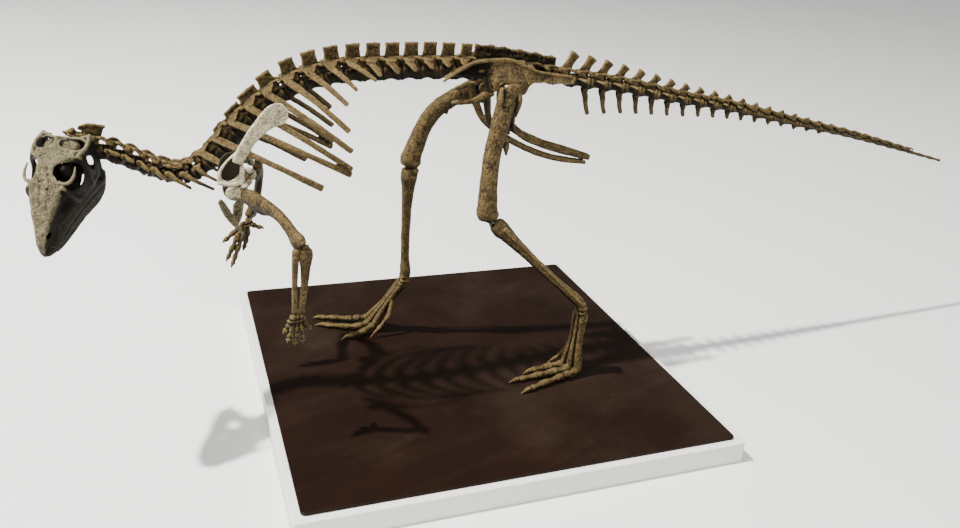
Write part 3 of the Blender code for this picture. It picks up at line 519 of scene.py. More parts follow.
def body_radius(index):
    """Radius of a vertebra's body: even in the neck and back, and in the tail its root's less
    a share that grows as the 0.85th power of the way to the tip."""
    if index < NECK:
        return 8.2 + 1.2 * index / NECK
    if index <= TAIL_START:
        return 9 if index <= HIP_START else 10
    return 10.6 - 8 * tail_share(index) ** 0.85


def spine_top(index):
    """Height of a spine above the middle of its body, in the neck, the hips and the tail.
    The back's own spines are listed with the back."""
    if index < NECK:
        return 26 if index == 1 else 18.5 - 0.2 * index
    if index < TAIL_START:
        return 34 - 1.2 * (index - HIP_START)
    return 4.5 + 35 * (1 - tail_share(index)) ** 2.2


print("tail body radii:", [round(body_radius(TAIL_START + k), 1) for k in (0, 10, 20, 28)], "mm")

# %% [markdown]
# ## Vertebrae
# Each one is a spool with raised rims, an arch over the nerve, prongs that lap over the
# neighbour's, and a spine above. The spools of the back are as long as they are tall; the
# spines are squarish plates with thick rough tops, where the back's stiff tendons held on. A
# thin core runs through the joints, as the cartilage or a steel rod does in a mount.

# %% Body and core
HALF_JOINT_GAP = 0.7
CORE_SHARE = 0.55


def spool(length, radius, waist):
    """A tube whose radius dips in the middle, like a cotton reel, with a raised rim."""
    half = length / 2 - HALF_JOINT_GAP
    line = [(-half, 0, 0), (0, 0, 0), (half, 0, 0)]
    shape = ((0, 0.9), (0.05, 1), (0.13, 0.95), (0.3, waist + 0.08), (0.5, waist),
             (0.7, waist + 0.08), (0.87, 0.95), (0.95, 1), (1, 0.9))
    return tube(line, [(t, radius * r, radius * r * 0.96) for t, r in shape], UP, 2.3, 0.12, 1.3)


def core(index):
    """The link through a vertebra and its two joints."""
    here, there = joint(index), joint(index + 1)
    spots = np.array([station(d)[0] for d in (here - 0.5, (here + there) / 2, there + 0.5)])
    thin = body_radius(index) * CORE_SHARE
    return tube(spots, ((0, thin, thin), (1, thin, thin)), UP, 2, 0.1)


print("a neck body is", round(from_joints(2)[2] - 2 * HALF_JOINT_GAP, 1), "mm long")

# %% Arch, spine and wings
def arch(length, radius, top, wide, reach=0.25):
    """Walls beside the nerve canal, drawn in at both ends, and prongs fore and aft."""
    low, high = radius * 0.7, top
    skins = []
    for side in SIDES:
        wall = out_to(side, radius * wide * 0.75)
        skins.append(tube([(0, wall, low), (0, wall, (low + high) / 2), (0, wall * 0.7, high)],
                          ((0, length * reach, 1.9), (0.5, length * (reach - 0.03), 1.7),
                           (1, length * (reach + 0.02), 2)), ALONG, 3, 0.4))
        fore = [(-0.2 * length, wall, high - 2.6), (-0.45 * length, wall * 1.25, high - 1.8),
                (-0.64 * length, wall * 1.3, high - 0.4)]
        aft = [(0.12 * length, wall * 0.8, high + 0.5), (0.36 * length, wall * 1.05, high + 1.2),
               (0.56 * length, wall * 1.2, high + 0.4)]
        skins.append(tube(fore, ((0, 2.4, 2.2), (0.6, 2.2, 1.7), (1, 2.7, 1.2)), ACROSS, 2.4))
        skins.append(tube(aft, ((0, 2, 2), (0.6, 2, 1.6), (1, 2.5, 1.3)), ACROSS, 2.4))
    skins.append(block((0, 0, high), (length * 0.3, radius * wide, 1.7), power=3.5))
    return skins


def square_spine(length, low, top, half, thick, lean, ragged):
    """An upright plate: thin in the middle, with a swollen, rough upper edge."""
    line = [(0.06 * length, 0, low - 1.5), (0.08 * length + lean / 2, 0, (low + top) / 2),
            (0.08 * length + lean, 0, top - 0.4)]
    skins = [tube(line, ((0, half * 1.16, thick * 0.95), (0.3, half * 1.1, thick * 0.7),
                         (0.7, half * 1.02, thick * 0.68), (0.9, half * 1.03, thick * 0.98),
                         (1, half * 1.02, thick)), ALONG, 6, 0.25)]
    knobs = np.linspace(-0.8, 0.8, 4) * half
    for number, shift in enumerate(knobs):
        lift = ragged * np.sin(number * 2.1 + low)
        skins.append(ball((0.08 * length + lean + shift, 0, top - 0.9 + lift),
                          (half * 0.3, thick * 1.15, 1.5)))
    return skins


def wing(side, root, tip, near, far, thick):
    """A flat side process: a tube much wider than it is thick."""
    root, tip = np.array(root, float), np.array(tip, float)
    root[1], tip[1] = out_to(side, root[1]), out_to(side, tip[1])
    return tube([root, (root + tip) / 2 + UP * 0.8, tip],
                ((0, near, thick), (0.6, (near + far) / 2, thick * 0.8), (1, far, thick * 0.9)),
                ALONG, 2.6, 0.5)


print("skins in one arch:", len(arch(BACK_PITCH, 9, 15, 0.8)))

# %% [markdown]
# Neck vertebrae carry low spines and knobbly prongs, with slim ribs trailing back below;
# the second one has a long axe-shaped blade. Daylight shows between the arches.

# %% Neck vertebrae
# How far back and how far down each neck rib reaches, from the third vertebra on.
NECK_RIB_REACH = ((12, 4), (10, 6), (10, 9), (13, 13), (25, 19), (35, 21), (19, 15))
RING, AXE = 0, 1


def neck_rib(index, side):
    """A slim rod that trails back from the body's side, with a short strut up to it."""
    length = joint(index + 1) - joint(index)
    rear, fall = NECK_RIB_REACH[index - 2]
    centre, axes = station(joint(index) + 0.3 * length)
    root = centre - axes[1] * side * 12 + axes[2] * 2
    tip = root + at(rear - 1, -side * 4, 1 - fall)
    bend = root * 0.6 + tip * 0.4 - axes[1] * side * 2
    rod = tube([root - axes[0] * 5, root, bend, tip],
               ((0, 2.4, 2), (0.3, 3.8, 2.3), (0.6, 3.1, 2), (1, 1.9, 1.6)), UP, 2.3)
    low = centre - axes[1] * side * 7 - axes[2] * 6
    strut = tube([low, (low + root) / 2 - axes[1] * side * 2, root],
                 ((0, 2.6, 1.8), (1, 2.8, 1.8)), axes[0], 2.3)
    return [rod, strut]


def neck_bone(index):
    """Body, arch and knobs; the first is a plain ring with a peg, the second has the blade."""
    origin, axes, length = from_joints(index)
    radius, top = body_radius(index), spine_top(index)
    roof = radius * 1.62
    own = carried([spool(length, radius + 1.2, 0.76)], UP * -2.6, np.eye(3))
    own += arch(length, radius, roof, 0.9)
    if index == AXE:
        own.append(tube([(-20, 0, roof + 7), (-8, 0, roof + 9), (8, 0, roof + 8)],
                        ((0, 2.4, 1), (0.4, 5.4, 1.4), (0.8, 6.4, 1.5), (1, 5.6, 1.7)),
                        UP, 4, 0.3))
        own.append(tube([(-19, 0, roof + 9), (-6, 0, roof + 13), (9.5, 0, roof + 13.4)],
                        ((0, 1.2, 1.2), (0.5, 1.5, 2.4), (1, 1.7, 3.6)), UP, 2.4))
        own.append(block((-5, 0, roof + 3), (10, 3.2, 6), power=2.6))
    elif index > AXE:
        own.append(tube([(-5.5, 0, roof + 0.5), (0, 0, (roof + top) / 2 + 0.8), (7, 0, roof + 1.5)],
                        ((0, 2, 1.6), (0.5, 2.9, 1.9), (1, 2, 2.2)), UP, 2.6))
    for side in SIDES:
        own.append(block((4.5, out_to(side, radius * 0.8), roof + 0.4), (4.6, 2.8, 2.1), None, 2.4))
        own.append(block((-5.5, out_to(side, radius * 0.95), roof - 3), (4.4, 2.4, 2.4), None, 2.4))
        if index > AXE:
            own.append(wing(side, (-3, 4, 3), (-3, radius + 3.5, 1), 5.2, 4.4, 2.4))
    skins = carried(own, origin, axes) + [core(index)]
    if index == RING:
        skins.append(tube([(-506, -33, 372), (-510, -34, 380), (-512, -35, 388)],
                          ((0, 7, 4.6), (0.6, 4.4, 3.6), (1, 3, 2.6)), ALONG, 2.6))
        skins.append(ball((-514, -39, 386), (4.2, 3.4, 2.6)))
    if index > AXE:
        for side in SIDES:
            skins += neck_rib(index, side)
    return skins


print("skins in the blade vertebra:", len(neck_bone(AXE)), "and in the next:", len(neck_bone(2)))

# %% [markdown]
# Back vertebrae have a broad shelf on each side that the ribs hang from. In the front nine
# the rib is long and has two heads; behind them a short flat stub is all there is.

# %% Back vertebrae
# Height of each back spine above its vertebra's middle, and its half length.
BACK_TOPS = (17.5, 20, 23.5, 27, 31, 33.5, 34.2, 34.4, 34.4, 34.4, 34.4, 34.4, 34.4, 34.2, 34)
BACK_HALVES = (5, 7.4, 11, 12.6, 9.6, 9.2, 9.2, 9.2, 9.2, 9.2, 9.2, 9.2, 9, 8.8, 7.6)


def back_bone(index):
    """Body, arch, square spine and, on each side, a shelf, the strut under it and a knob."""
    origin, axes, length = from_joints(index)
    radius = body_radius(index)
    roof = radius * 1.72
    number = index - NECK
    own = carried([spool(length, radius + 2, 0.74)], UP * -3.2, np.eye(3))
    own += arch(length, radius, roof, 0.8, 0.4)
    own.append(block((0, 0, roof - 4.5), (length * 0.53, 3, 6), power=3))
    own += square_spine(length, roof, BACK_TOPS[number], BACK_HALVES[number], 2.4, 0.4, 0.6)
    for side in SIDES:
        reach = 18 if number < CAGE else 16.5 - 0.7 * (number - CAGE)
        own.append(wing(side, (-1, 2, roof - 1.2), (-5, reach, 13.6), 9.6, 6.2, 2.2))
        own.append(wing(side, (-5, 4, roof - 5), (-6, reach - 5, 10.5), 3.4, 2.4, 2.8))
        own.append(ball((-7, out_to(side, radius * 0.85), 3), (3.8, 2.4, 3.6)))
    return carried(own, origin, axes) + [core(index)]


print("skins in a back vertebra:", len(back_bone(NECK)))

# %% Ribs
# Where each rib ends: along, out from the chest's midline, and up.
RIB_TIPS = np.array(((-322, 44, 334), (-236, 62, 322), (-201, 62, 338), (-200, 62, 345),
                     (-200, 62, 368), (-203, 60, 393), (-204, 54, 424), (-191, 46, 440),
                     (-166, 40, 450)), float)
RIB_ENDS = (3.4, 4.7, 4, 3.8, 3.8, 3.7, 3.2, 2.6, 2.4)
CHEST_MIDLINE, RIB_BULGE = -33, 0.12


def station_within(index, share):
    """Point and axes at a share of the way through one vertebra."""
    return station(joint(index) + share * (joint(index + 1) - joint(index)))


def rib_curve(index, side, t):
    """From root to tip, bowed outward by a share of its length times sin(pi t^0.8)."""
    centre, axes = station_within(index, 0.25)
    root = centre - axes[1] * side * 17 + axes[2] * 13
    x, out, z = RIB_TIPS[index - NECK]
    tip = at(x, CHEST_MIDLINE - side * out, z)
    bulge = at(0.1, -side, 0.25) * RIB_BULGE * np.linalg.norm(tip - root)
    t = np.asarray(t, float)[:, None]
    return root + (tip - root) * t + bulge * np.sin(np.pi * t ** 0.8)


def rib(index, side):
    """A flat curved shaft, a head that reaches the body, and a keel over the upper third."""
    number = index - NECK
    spots = rib_curve(index, side, np.linspace(0, 1, 9))
    slim = 1 if number < 7 else 0.88
    end = RIB_ENDS[number]
    rod = tube(spots, ((0, 4.6 * slim, 2.8), (0.1, 4.9 * slim, 2.4), (0.3, 4 * slim, 2.3),
                       (0.6, 3.7 * slim, 2.3), (0.9, end, 2.4), (1, end, 2.3)),
               (1, 0, 0.4), 2.4, 0.9)
    centre, axes = station_within(index, 0.22)
    head_end = centre - axes[1] * side * body_radius(index) * 0.85 + axes[2] * 3.5
    neck = rib_curve(index, side, [0.09])[0]
    middle = (head_end + neck) / 2 - axes[2] * 1.5
    head = tube([neck, middle, head_end], ((0, 2.9, 1.6), (0.6, 2, 1.4), (1, 2.6, 2.2)),
                ALONG, 2.3)
    over = rib_curve(index, side, [0.02, 0.14, 0.34]) + axes[2] * 1.6
    keel = tube(over, ((0, 1.6, 1.6), (0.5, 1.8, 1.5), (1, 0.8, 0.8)), ALONG, 2.2)
    return [rod, head, keel]


def loin_stub(index, side):
    """A flat bar that hangs outward and back, each 3.4 mm shorter than the one before."""
    number = index - NECK - CAGE
    length = 24 - 3.4 * number
    centre, axes = station_within(index, 0.25)
    root = centre - axes[1] * side * 12 + axes[2] * 12.4
    tip = root + (axes[0] * 0.35 - axes[1] * side * 0.8 - axes[2] * 0.55) * length
    middle = (root + tip) / 2 - axes[1] * side * length * 0.06 + axes[2] * length * 0.07
    return tube([root, middle, tip], ((0, 5.2, 2.2), (0.3, 4.8, 2.2), (0.75, 4.2, 2),
                                      (1, 2.8, 1.6)), axes[0], 2.5, 0.6)


print("second rib ends at", np.round(rib_curve(NECK + 1, LEFT, [1])[0], 1), "mm")

# %% [markdown]
# The five hip vertebrae are grown together: their spines form one ragged ridge, and stout
# struts reach out to the hip bones. Tail vertebrae slowly lose their wings, their spines and
# the V-shaped chevrons that hang below each joint.

# %% Hip vertebrae
def hip_bone(index):
    """Body, arch, a spine wide enough to touch its neighbours, and two struts on each side."""
    origin, axes, length = from_joints(index)
    radius, top = body_radius(index), spine_top(index)
    roof = radius * 1.6
    own = [spool(length + 1.5, radius, 0.8)] + arch(length, radius, roof, 0.8)
    half = 13.8 if index < TAIL_START - 2 else 11.2
    own += square_spine(length, roof, top - 0.5, half, 3, 0, 1.5)
    own.append(block((0, 0, roof - 2), (length * 0.5, radius * 0.7, 4), power=3))
    for side in SIDES:
        own.append(wing(side, (-5, 4, 2), (-5.5, 21, 2), 5.6, 6, 3.2))
        own.append(wing(side, (-4, 3, roof), (-5, 16, 12), 4.5, 3.8, 1.8))
    return carried(own, origin, axes) + [core(index)]


print("skins in a hip vertebra:", len(hip_bone(HIP_START)))

# %% Tail vertebrae and chevrons
# How many tail vertebrae have wings, chevrons, a spine and an arch.
TAIL_WINGS, CHEVRONS, TAIL_SPINES, TAIL_ARCHES = 12, 18, 24, 26


def tail_bone(index):
    """A spool with an arch, a spine that leans back and short wings, as far as each one goes.
    With s the share of the way to the tip, every size is its root's less a multiple of s."""
    origin, axes, length = from_joints(index)
    share = tail_share(index)
    radius, top = body_radius(index), spine_top(index)
    roof, number = radius * 1.45, index - TAIL_START
    own = [spool(length, radius, 0.66 + 0.1 * share)]
    if number < TAIL_ARCHES:
        own += arch(length, radius, roof, 0.62 + 0.1 * share)
    tall = max(top - roof, 1)
    if number < TAIL_SPINES:
        start, lean = 0.12 * length + 0.12 * tall, 0.28 * tall
        own.append(tube([(start - 2, 0, roof - 2), (start + lean * 0.35, 0, roof + tall * 0.4),
                         (start + lean + 1, 0, top - 2.2 + 1.4 * share)],
                        ((0, 9.2 - 3.4 * share, 3.2 - share),
                         (0.35, 7.2 - 3.2 * share, 2.6 - 0.8 * share),
                         (0.8, 7.3 - 3.6 * share, 2.6 - 0.8 * share),
                         (1, 8.4 - 4.4 * share, 3.6 - 1.4 * share)), ALONG, 3, 0.45))
    if number < TAIL_WINGS:
        reach = min(15 * (1 - number / (TAIL_WINGS + 1)), 9 + 4 * number)
        for side in SIDES:
            own.append(wing(side, (-3, radius * 0.4, 3.4), (0.3 * reach - 4, radius + reach, 4.2),
                            6, 3.6, 2.2))
    return carried(own, origin, axes) + [core(index)]


def chevron(index):
    """Two limbs from the joint's underside that meet and go on as one leaning blade, whose
    length falls as the square of what is left of the row."""
    share = (index - TAIL_START) / CHEVRONS
    length = 38 * (1 - share) ** 2 + 2
    centre, axes = station(joint(index + 1) - 4)
    radius = body_radius(index)
    meet = centre - axes[2] * (radius + 0.32 * length) + axes[0] * 0.12 * length
    low = centre - axes[2] * (radius + length - 1) + axes[0] * 0.42 * length
    skins = []
    for side in SIDES:
        root = centre - axes[1] * side * radius * 0.45 - axes[2] * (radius * 0.85)
        skins.append(tube([root, (root + meet) / 2, meet], ((0, 4.2 - share, 2.2),
                                                            (1, 4 - share, 2.2)), ALONG, 2.2))
    skins.append(tube([meet + axes[2] * 3, (meet * 0.5 + low * 0.5) - axes[0] * 0.6, low],
                      ((0, 4.8 - 1.6 * share, 2.9), (0.4, 3.9 - share, 2.4), (1, 3.4 - share, 1.9)),
                      ALONG, 2.4, 0.7))
    return skins


print("skins in the first tail vertebra:", len(tail_bone(TAIL_START)))

# %% [markdown]
# The hip ridge keeps blotches of dark ground; the flanks of the backbone get painted shade
# under their shelves, lifted on what stands out. A function gives each corner of a piece one
# number, which could also be painted on by hand, but this way it follows the bones when they
# are moved.

# %% Soil on the hips and painted shade on the backbone
COLUMN = np.array([station(joint(index))[0] for index in range(COLUMN_END + 1)])
TAIL_ROOT_X = 110


def ridge_stain(corners):
    """The grown-together spines of the hips are blotched with dark ground."""
    return 0.35 + 0.45 * grain(corners, 7, 3)


def backbone_painted_shade(corners):
    """Painted shade on the flanks of the bodies, under the shelves. With a the distance aside
    from the line of joints and h the height above it, the flanks of the bodies (a < 11, h < 4)
    get painted shade, and what stands out, the ribs and wings (a > 15) and the tops of the
    spines (h > 10), has the darkening lifted. The flanks of the tail keep a third of theirs."""
    aside = np.abs(corners[:, 1] - np.interp(corners[:, 0], COLUMN[:, 0], COLUMN[:, 1]))
    above = corners[:, 2] - np.interp(corners[:, 0], COLUMN[:, 0], COLUMN[:, 2])
    outer = np.clip((aside - 11) / 4, 0, 1)
    low, top = np.clip((4 - above) / 6, 0, 1), np.clip((above - 5) / 5, 0, 1)
    low = low * np.where(corners[:, 0] > TAIL_ROOT_X, 0.3, 1)
    return 0.75 * low * (1 - outer) - 0.6 * np.maximum(outer, top)


print("stain on, beside and over a joint:",
      np.round(backbone_painted_shade(COLUMN[[12]] + [0 * UP, 20 * ACROSS, 20 * UP]), 2))

# %% [markdown]
# ## Skull
# The head has its own measure: forwards from the joint with the neck, to the left, and up,
# all in skull lengths. One curved sheet gives the roof and cheeks. Real openings are cut in
# it for the eyes, the nostrils and the jaw muscles, and the bars left between them are
# thickened with tubes, which is how the bones of a reptile's skull frame their windows.

# %% The head's own measure
SKULL_LENGTH = 132
CONDYLE = at(-517, -34, 370)
head_turn = np.array(Matrix.Rotation(np.radians(70.4), 3, "Z")
                     @ Matrix.Rotation(np.radians(-33.4), 3, "Y")
                     @ Matrix.Rotation(np.radians(3), 3, "X"))
HEAD_AXES = np.stack([head_turn @ (-1, 0, 0), head_turn @ (0, -1, 0), head_turn @ (0, 0, 1)])
NOSE, HEAD_LEFT, CROWN = HEAD_AXES
BLOCK_AXES = HEAD_AXES * [[1], [-1], [1]]


def in_head(spots):
    """Points given in skull lengths, carried to their place."""
    return CONDYLE + np.asarray(spots, float) @ HEAD_AXES * SKULL_LENGTH


def skull_rod(line, stations, hint=CROWN, power=2.3):
    """A tube whose points are in skull lengths and whose sizes are in hundredths of one."""
    scale = SKULL_LENGTH / 100
    return tube(in_head(line), [(t, a * scale, b * scale) for t, a, b in stations], hint, power)


def skull_lump(centre, sizes, power=2.3):
    """A block whose middle and half sizes are in skull lengths."""
    return block(in_head(centre), np.array(sizes) * SKULL_LENGTH, BLOCK_AXES, power)


print("beak tip at", np.round(in_head((0.985, 0, -0.278)), 1), "mm")

# %% Roof and cheeks

def rounded_table(x, table, column, window=0.02):
    """Straight interpolation averaged over a short window, which rounds its corners."""
    table = np.asarray(table, float)
    return np.mean([np.interp(x + shift, table[:, 0], table[:, column])
                    for shift in (-window, -window / 2, 0, window / 2, window)], axis=0)


# forward, height of the midline, half width of the roof, height of the roof's edge
ROOF = ((-0.03, 0.075, 0.165, 0.082), (0.03, 0.11, 0.195, 0.1), (0.113, 0.142, 0.207, 0.116),
        (0.2, 0.166, 0.198, 0.138), (0.25, 0.176, 0.185, 0.144), (0.29, 0.172, 0.11, 0.158),
        (0.38, 0.176, 0.058, 0.17), (0.45, 0.16, 0.056, 0.154), (0.54, 0.122, 0.118, 0.108),
        (0.64, 0.078, 0.1, 0.064), (0.76, 0.006, 0.066, -0.008), (0.875, -0.074, 0.04, -0.084),
        (0.955, -0.15, 0.026, -0.162), (0.985, -0.235, 0.01, -0.24))
# forward, height of the lower margin, its distance from the midline
MARGIN = ((-0.03, 0.04, 0.19), (0.03, -0.2, 0.212), (0.06, -0.33, 0.222),
          (0.1, -0.33, 0.228), (0.13, -0.24, 0.23), (0.2, -0.22, 0.232),
          (0.26, -0.225, 0.23), (0.337, -0.214, 0.22), (0.443, -0.164, 0.2),
          (0.554, -0.146, 0.17), (0.668, -0.136, 0.14), (0.762, -0.137, 0.1),
          (0.8, -0.2, 0.088), (0.822, -0.244, 0.078), (0.9, -0.27, 0.052),
          (0.985, -0.285, 0.012))


def oval(x, y, centre, sizes):
    """Below one inside an ellipse: the sum of the squared shares of its half sizes."""
    return ((x - centre[0]) / sizes[0]) ** 2 + ((y - centre[1]) / sizes[1]) ** 2


def skull_sheet():
    """Roof and cheeks as one sheet: v runs from the midline (0) over the roof's edge (0.4)
    to the lower margin (1). The cheek swings outward fast and then drops straight. The strip
    between the eyes is pushed a little to the right, as the rock left it."""
    f, v = np.meshgrid(np.linspace(-0.03, 0.985, 132), np.linspace(-1, 1, 151), indexing="ij")
    side, v = np.sign(v), np.abs(v)
    top, wide, edge = (rounded_table(f, ROOF, k, 0.012) for k in (1, 2, 3))
    low, out = (rounded_table(f, MARGIN, k, 0.008) for k in (1, 2))
    on_roof = v < 0.4
    r = np.clip(v / 0.4, 0, 1)
    s = np.clip((v - 0.4) / 0.6, 0, 1)
    swing = 1 - (1 - np.clip(s * 1.5, 0, 1)) ** 2.2
    l = np.where(on_roof, wide * r, wide + (out - wide) * swing)
    d = np.where(on_roof, top + (edge - top) * r ** 2.5, edge + (low - edge) * s)
    fossa = np.exp(-oval(f, d, (0.61, -0.045), (0.085, 0.05)) ** 2)
    l = l - np.where(on_roof, 0, 0.026 * fossa + 0.008 * np.sin(np.pi * s) * (f > 0.56))
    d = d - np.where(on_roof & (f > 0.4), 0.0025 * np.exp(-((l - 0.03) / 0.012) ** 2), 0)
    eye = (oval(f, d, (0.4, 0.06), (0.124, 0.098)) < 1) & (s > 0.03)
    cheek_gap = (oval(f, d, (0.158, -0.01), (0.044, 0.088)) < 1) & (s > 0.08)
    roof_gap = (oval(f, l, (0.108, 0.112), (0.082, 0.084)) < 1) & on_roof
    nostril = (oval(f, d, (0.88, -0.14), (0.028, 0.02)) < 1) & (s > 0.03)
    d = d - 0.012 * np.exp(-((f - 0.59 + 0.55 * l) / 0.007) ** 2) * (l < 0.045) * on_roof
    keep = ~(eye | cheek_gap | roof_gap | nostril | ((f < 0.02) & (l < 0.12) & on_roof))
    pushed = 0.03 * np.exp(-((f - 0.41) / 0.1) ** 2) * np.clip(1 - s / 0.3, 0, 1)
    pushed += 0.034 * np.exp(-((f - 0.1) / 0.11) ** 2) * np.clip(1 - l / 0.19, 0, 1) * on_roof
    thick = 2.2 + 1.6 * np.exp(-((s - 1) / 0.12) ** 2) * (f > 0.4) + 0.8 * on_roof
    return plate(in_head(np.stack([f, l * side - pushed, d], -1)), thick, keep)


print("rows of the roof table:", len(ROOF), "of the margin:", len(MARGIN))

# %% Skull
# Rods of the left side: middle line (forward, out, up), stations, and where their width points.
SKULL_RODS = (
    # the roof's edge behind the eye
    ([(0.245, 0.185, 0.15), (0.11, 0.212, 0.12), (-0.03, 0.19, 0.083)],
     ((0, 2, 1.8), (0.5, 2, 1.5), (1, 3.2, 2)), CROWN),
    # the bar behind the eye
    ([(0.235, 0.185, 0.15), (0.25, 0.222, 0.03), (0.275, 0.228, -0.165)],
     ((0, 2.8, 2), (0.5, 1.9, 1.7), (1, 3.6, 1.8)), NOSE),
    # the cheek bar under the eye
    ([(0.5, 0.176, -0.125), (0.4, 0.198, -0.13), (0.28, 0.226, -0.165),
      (0.12, 0.226, -0.205)],
     ((0, 1.6, 1.2), (0.3, 2.4, 1.7), (0.7, 3.6, 1.7), (1, 2.8, 1.6)), CROWN),
    # the plate outside the jaw joint
    ([(0.02, 0.2, -0.16), (0.06, 0.2, -0.26), (0.1, 0.19, -0.33)],
     ((0, 6, 2), (0.5, 7, 2.2), (1, 5, 2)), NOSE),
    # the wall between eye and brain
    ([(0.36, 0.086, 0.12), (0.345, 0.096, 0.06), (0.33, 0.09, 0)],
     ((0, 3, 3), (0.5, 5.6, 4.2), (1, 4, 3)), NOSE),
    # the post that carries the jaw
    ([(-0.02, 0.19, 0.085), (0.022, 0.206, -0.1), (0.05, 0.216, -0.22),
      (0.084, 0.226, -0.33)],
     ((0, 3.4, 2.4), (0.45, 2.6, 2.2), (0.8, 2.6, 2.4), (1, 3, 3.2)), NOSE),
    # the bar in front of the eye
    ([(0.545, 0.125, 0.104), (0.545, 0.17, 0.03), (0.53, 0.185, -0.07),
      (0.49, 0.188, -0.13)],
     ((0, 2.6, 2), (0.4, 1.9, 1.8), (0.8, 2.2, 2), (1, 3, 2)), NOSE),
    # the edge that holds the upper teeth
    ([(0.46, 0.176, -0.15), (0.62, 0.138, -0.138), (0.78, 0.086, -0.15)],
     ((0, 2, 2.4), (0.5, 2.2, 2.6), (1, 1.6, 2)), CROWN),
    # the wing from the post to the palate
    ([(0.05, 0.19, -0.26), (0.18, 0.12, -0.12), (0.3, 0.06, -0.08)],
     ((0, 3.4, 1.6), (0.5, 5.4, 1.5), (1, 3.4, 1.6)), CROWN),
    # the flange that hangs inside the jaw
    ([(0.36, 0.13, -0.1), (0.35, 0.145, -0.18), (0.34, 0.15, -0.26)],
     ((0, 5, 1.6), (0.5, 4.2, 1.6), (1, 2.2, 1.3)), NOSE),
    # the strut inside the temple
    ([(0.28, 0.11, 0.1), (0.3, 0.13, 0), (0.33, 0.15, -0.1)],
     ((0, 2.2, 1.4), (0.5, 1.8, 1.3), (1, 2.6, 1.6)), NOSE))


def skull_skins():
    """The sheet, the lumps of braincase, palate and snout, and the rods of both sides."""
    skins = [skull_sheet(),
             skull_lump((0.11, -0.01, 0.038), (0.13, 0.172, 0.09), 2.2),
             skull_lump((0.22, 0, 0.05), (0.12, 0.085, 0.08)),
             skull_lump((0.34, 0, 0.04), (0.1, 0.03, 0.085)),
             skull_lump((0.56, 0, -0.05), (0.21, 0.014, 0.085)),
             skull_lump((0.86, 0, -0.15), (0.08, 0.02, 0.06)),
             skull_lump((0.005, 0, 0.02), (0.022, 0.125, 0.07), 2.6),
             skull_lump((-0.035, 0, 0), (0.035, 0.032, 0.03), 2),
             skull_rod([(0.9, 0, -0.215), (0.7, 0, -0.13), (0.48, 0, -0.115), (0.3, 0, -0.08),
                        (0.14, 0, -0.02)],
                       ((0, 1.4, 3.5), (0.25, 1.4, 8), (0.5, 1.6, 15), (0.75, 2, 18), (1, 3, 14))),
             skull_rod([(-0.015, -0.185, 0.088), (0.015, -0.1, 0.088), (0.032, -0.01, 0.108),
                        (0.015, 0.1, 0.088), (-0.015, 0.185, 0.088)],
                       ((0, 3.2, 1.8), (0.5, 2.2, 1.8), (1, 3.2, 1.8))),
             skull_rod([(0.93, 0, -0.2), (0.97, 0, -0.235), (0.978, 0, -0.278)],
                       ((0, 4.2, 3), (0.5, 2.8, 3), (1, 1.2, 1.4)), HEAD_LEFT)]
    for side in SIDES:
        for line, stations, hint in SKULL_RODS:
            skins.append(skull_rod([(f, l * side, d) for f, l, d in line], stations, hint))
    return skins


print("skins in the skull:", len(skull_skins()))

# %% [markdown]
# The lower jaw is two deep bars with a groove under the tooth row and a peak behind the
# teeth where the jaw muscle pulled, joined at the tip by a small beak bone. The teeth are
# little leaves, worn flat; they are left crisp, since melting would turn them into beads.

# %% Jaw and beak
# forward, distance from the midline, upper edge, lower edge
JAW = ((0.03, 0.214, -0.352, -0.392), (0.09, 0.216, -0.345, -0.44),
       (0.16, 0.212, -0.3, -0.47), (0.23, 0.203, -0.255, -0.472),
       (0.3, 0.19, -0.215, -0.46), (0.38, 0.176, -0.205, -0.434),
       (0.474, 0.16, -0.185, -0.406), (0.6, 0.136, -0.174, -0.386),
       (0.716, 0.112, -0.176, -0.376), (0.79, 0.094, -0.215, -0.366),
       (0.84, 0.08, -0.262, -0.358), (0.9, 0.06, -0.272, -0.346))


def jaw_skins(side):
    """A sheet between the jaw's upper and lower edges that bellies outward as a half sine."""
    f, v = np.meshgrid(np.linspace(0.03, 0.9, 114), np.linspace(0, 1, 34), indexing="ij")
    out, top, low = (rounded_table(f, JAW, k, 0.015) for k in (1, 2, 3))
    d = top + (low - top) * v
    belly = (0.02 * np.sin(np.pi * v ** 0.6) - 0.012 * (1 - v)
             - 0.008 * np.exp(-((v - 0.45) / 0.07) ** 2))
    thick = 3 + 2 * np.exp(-((v - 1) / 0.2) ** 2) + 1.2 * np.exp(-(v / 0.12) ** 2)
    skins = [plate(in_head(np.stack([f, (out + belly - 0.004) * side, d], -1)), thick),
             skull_lump((0.062, 0.215 * side, -0.362), (0.038, 0.024, 0.02))]
    skins.append(skull_rod([(0.34, 0.18 * side, -0.26), (0.3, 0.184 * side, -0.215),
                            (0.272, 0.182 * side, -0.195)],
                           ((0, 3.4, 1.6), (0.6, 2.6, 1.2), (1, 1.6, 1)), NOSE))
    skins.append(skull_rod([(0.05, 0.212 * side, -0.38), (0, 0.205 * side, -0.372),
                            (-0.02, 0.2 * side, -0.355)],
                           ((0, 2.6, 1.8), (0.6, 2, 1.4), (1, 1.2, 1)), CROWN))
    return skins


def beak_skins():
    """A lump, a point and an arm along each jaw."""
    skins = [skull_lump((0.918, 0, -0.325), (0.05, 0.052, 0.022), 2.5),
             skull_rod([(0.93, 0, -0.315), (0.965, 0, -0.308), (0.984, 0, -0.3)],
                       ((0, 4.2, 1.8), (0.6, 2.6, 1.6), (1, 1, 0.9)), HEAD_LEFT)]
    for side in SIDES:
        skins.append(skull_rod([(0.88, 0.07 * side, -0.308), (0.92, 0.054 * side, -0.308),
                                (0.966, 0.014 * side, -0.305)],
                               ((0, 3.2, 1.4), (0.6, 2.6, 1.5), (1, 1.8, 1.6)), CROWN))
    return skins


print("skins in one jaw and the beak:", len(jaw_skins(LEFT)), len(beak_skins()))
